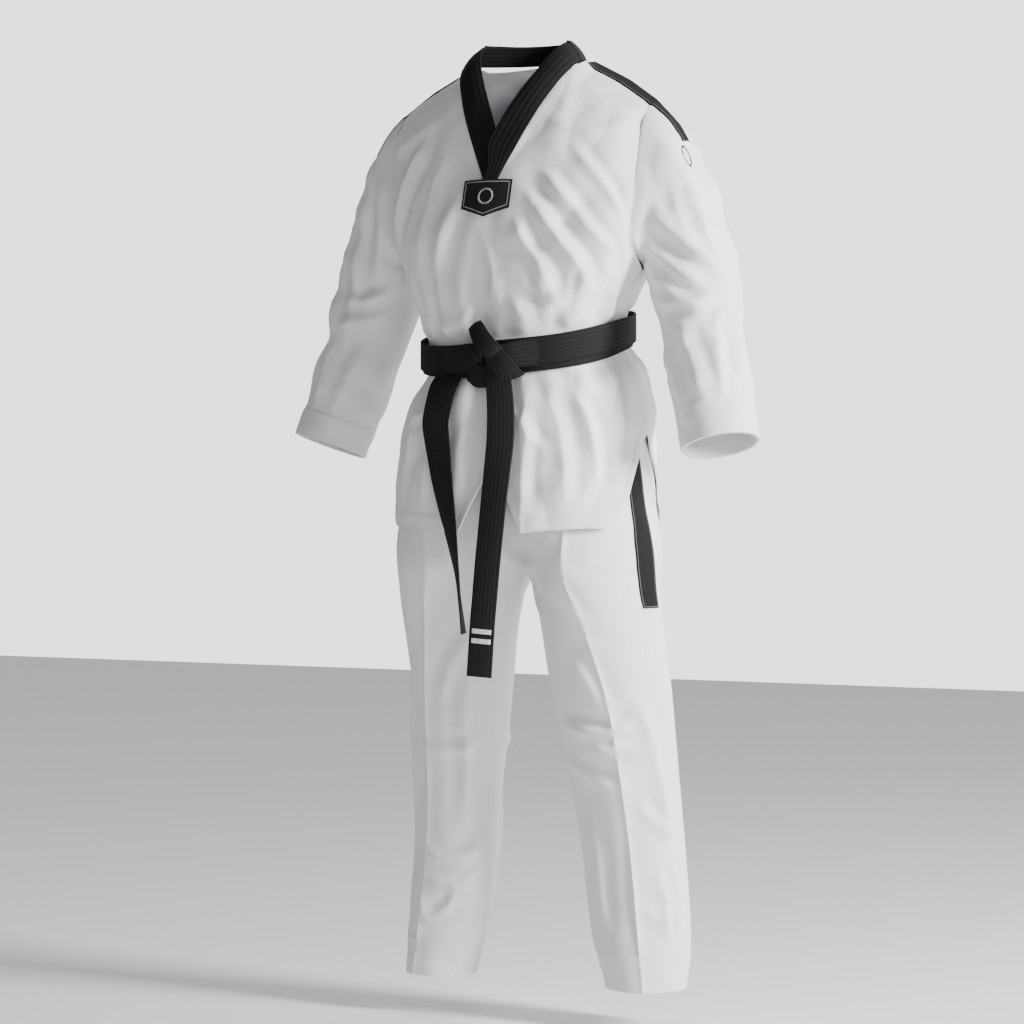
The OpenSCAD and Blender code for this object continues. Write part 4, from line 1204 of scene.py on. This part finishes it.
def ribbon(points, faces_way, widths, lengthwise=150, across_count=31, bow=0.0):
    """A band along a line: its width is square to the line and to the way it faces."""
    points = np.asarray(points, float)
    faces_way = np.asarray(faces_way, float)
    along = distance_along(points)
    s = np.linspace(0, along[-1], lengthwise)

    def smooth(values):
        out = read_at(s, along, values)
        for _ in range(60):
            out[1:-1] = (out[:-2] + 2 * out[1:-1] + out[2:]) / 4
        return out

    line = smooth(points)
    facing = unit(smooth(faces_way))
    width = smooth(np.asarray(widths, float)[:, None])[:, 0]
    way = unit(np.gradient(line, axis=0))
    facing = unit(facing - way * np.sum(way * facing, axis=1, keepdims=True))
    side = unit(np.cross(facing, way))
    across = np.linspace(-1, 1, across_count)[:, None]
    p = (line[None] + side[None] * (across * width / 2)[..., None]
         + facing[None] * (bow * (1 - across ** 2))[..., None])
    cloth = Cloth(p, smooth_normals=2)
    if np.sum(cloth.n[across_count // 2, lengthwise // 2] * facing[lengthwise // 2]) < 0:
        cloth = Cloth(p[::-1], smooth_normals=2)
    return cloth.raise_by(band_profile(across) + 0 * p[..., 0], 1)


def knot_band(name, points, ways, widths, bow):
    cloth = ribbon(np.array(points) * MM, ways, np.array(widths) * MM, bow=bow * MM)
    piece = sheet_mesh(name, cloth, BELT_T, WEBBING)
    settle(piece, "jacket")
    belt_rows(belt_thread, cloth, 31)
    return piece


# The knot: a band from each side of the wearer, a loop under them, and two folds that
# pass down in front. Each row is a name, points in mm, the way it faces, widths in mm, bow.
KNOT_BANDS = (
    ("knot_band_from_left",
     [(88, -121, -24), (66, -134, -26), (44, -147, -29), (24, -154, -32), (8, -152, -36)],
     [(0.4, -1, 0), (0.5, -1, 0), (0.3, -1, 0), (0, -1, 0), (-0.5, -1, 0)],
     [43, 42, 40, 35, 28], 2.0),
    ("knot_band_from_right",
     [(-92, -120, -34), (-66, -136, -35), (-42, -148, -33), (-20, -156, -29), (-4, -156, -26)],
     [(-0.4, -1, 0), (-0.5, -1, 0), (-0.25, -1, 0.05), (0.1, -1, 0.1), (0.6, -1, 0.1)],
     [43, 43, 42, 38, 30], 2.5),
    ("knot_loop_under",
     [(-34, -138, -44), (-26, -150, -54), (-10, -157, -61), (6, -159, -60), (20, -156, -50),
      (30, -148, -38)],
     [(0, -0.8, -0.6), (0, -1, -0.3), (0, -1, -0.1), (0, -1, 0), (0, -1, 0.1), (0.6, -1, 0.2)],
     [26, 32, 36, 38, 36, 30], 2.5),
    ("knot_fold_below",
     [(-2, -154, -6), (8, -161, -14), (20, -166, -27), (33, -166, -42), (44, -161, -56),
      (50, -150, -64), (48, -140, -62)],
     [(-0.2, -1, 0.4), (-0.1, -1, 0.2), (0, -1, 0.1), (0.1, -1, 0), (0.25, -1, -0.2),
      (0.4, -0.6, -0.8), (0.2, 0.3, -1)],
     [26, 30, 34, 36, 36, 34, 30], 2.0),
    ("knot_fold_over",
     [(-20, -138, 12), (-17, -152, 18), (-8, -163, 11), (3, -170, -3), (14, -173, -15),
      (23, -170, -25), (26, -163, -30)],
     [(-0.3, -0.2, 1), (-0.25, -0.8, 0.7), (-0.1, -1, 0.35), (0, -1, 0.2), (0.05, -1, 0.1),
      (0.2, -1, -0.3), (0.6, -0.6, -0.6)],
     [20, 24, 28, 31, 32, 32, 30], 2.5),
)
for name, points, ways, widths, bow in KNOT_BANDS:
    knot_piece = knot_band(name, points, ways, widths, bow)
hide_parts("belt_knot")
settle(belt_thread.mesh("belt_stitches", BLACK_THREAD, BELT_STITCH), "jacket")


def tail(name, node, body, points, ways, widths, bow):
    cloth = ribbon(np.array(points) * MM, ways, np.array(widths) * MM, 260, 31, bow * MM)
    piece = sheet_mesh(name, cloth, BELT_T, WEBBING)
    settle(piece, body, replaces=(node,))
    thread = Thread()
    belt_rows(thread, cloth, 31)
    settle(thread.mesh(name + "_stitches", BLACK_THREAD, BELT_STITCH), body)
    return piece, cloth


left_tail, left_tail_cloth = tail("belt_left_tail_band", "belt_tail_left", "belt_end_left", [
    (24, -157, -34), (29, -162, -66), (34, -164, -110), (34, -166, -160), (24, -167, -240),
    (13, -167, -340), (4, -166, -430), (-3, -164, -514)],
    [(0.1, -1, 0), (0.15, -1, 0), (0.22, -1, 0), (0.2, -1, 0), (0.1, -1, 0), (0.16, -1, 0),
     (0.2, -1, 0), (0.2, -1, 0)],
    [40, 41, 43, 43, 42, 41, 40, 40], 1.5)
right_tail, _ = tail("belt_right_tail_band", "belt_tail_right", "belt_end_right", [
    (-68, -119, -40), (-72, -127, -58), (-76, -144, -76), (-80, -162, -130), (-68, -163, -215),
    (-54, -163, -290), (-42, -162, -365), (-33, -160, -450)],
    [(-0.1, -1, 0), (0, -1, 0), (0.1, -1, 0), (0.1, -1, 0), (-0.25, -1, 0), (-0.6, -0.8, 0),
     (-1, -0.62, 0), (-1.2, -0.45, 0)],
    [38, 42, 44, 44, 43, 42, 42, 42], 1.5)

bars = Thread()
for up in (0.052, 0.066):
    end = left_tail_cloth.p.shape[1] - 1
    columns_per_m = end / 0.462
    for k in np.linspace(-0.0030, 0.0030, 9):
        rows = np.linspace(3.5, 26.5, 60)
        bars.row(*left_tail_cloth.at(rows, end - (up + k) * columns_per_m), pitch=0.0022)
settle(bars.mesh("belt_rank_bar_embroidery", WHITE_THREAD, (0.0026, 0.0008, 0.0009)), "belt_end_left",
       replaces=("belt_rank_bars",))

# ---- room ---------------------------------------------------------------


def make_room():
    bpy.ops.mesh.primitive_plane_add(size=14, location=(0, 0, -1.062))
    floor = bpy.context.object
    floor.name = "floor"
    pale = bpy.data.materials.new("pale_floor")
    pale.use_nodes = True
    shader = pale.node_tree.nodes["Principled BSDF"]
    shader.inputs["Base Color"].default_value = (0.80, 0.80, 0.80, 1)
    shader.inputs["Roughness"].default_value = 0.9
    shader.inputs["Specular IOR Level"].default_value = 0.1
    floor.data.materials.append(pale)
    world = bpy.data.worlds.new("studio")
    bpy.context.scene.world = world
    world.use_nodes = True
    nodes, links = world.node_tree.nodes, world.node_tree.links
    nodes["Background"].inputs["Color"].default_value = (1.0, 1.0, 1.0, 1)
    place = nodes.new("ShaderNodeTexCoord")
    facing = nodes.new("ShaderNodeVectorMath")
    facing.operation = "DOT_PRODUCT"
    bright = VIEW_AZIMUTH - math.radians(26)
    facing.inputs[1].default_value = (-math.sin(bright), math.cos(bright), 0.0)
    ramp = nodes.new("ShaderNodeMapRange")
    ramp.interpolation_type = "SMOOTHSTEP"
    ramp.inputs["From Min"].default_value = 0.30
    ramp.inputs["From Max"].default_value = 0.80
    ramp.inputs["To Min"].default_value = 0.22
    ramp.inputs["To Max"].default_value = 2.4
    links.new(place.outputs["Generated"], facing.inputs[0])
    links.new(facing.outputs["Value"], ramp.inputs["Value"])
    links.new(ramp.outputs["Result"], nodes["Background"].inputs["Strength"])


def softbox(name, azimuth, height, distance, size, watts):
    data = bpy.data.lights.new(name, "AREA")
    data.shape = "RECTANGLE"
    data.size, data.size_y = size
    data.energy = watts
    lamp = bpy.data.objects.new(name, data)
    a = math.radians(azimuth)
    place = np.array([math.sin(a) * distance, -math.cos(a) * distance, height])
    lamp.location = place
    aim = np.array([0.0, 0.0, -0.30]) - place
    yaw = math.atan2(-aim[0], aim[1])
    pitch = math.atan2(np.hypot(aim[0], aim[1]), -aim[2])
    lamp.rotation_euler = (pitch, 0, yaw)
    bpy.context.scene.collection.objects.link(lamp)


make_room()
softbox("key_from_wearers_left", 86, 0.9, 3.4, (0.7, 1.3), 330)
softbox("fill_from_camera", 40, 0.5, 4.2, (1.6, 1.6), 26)
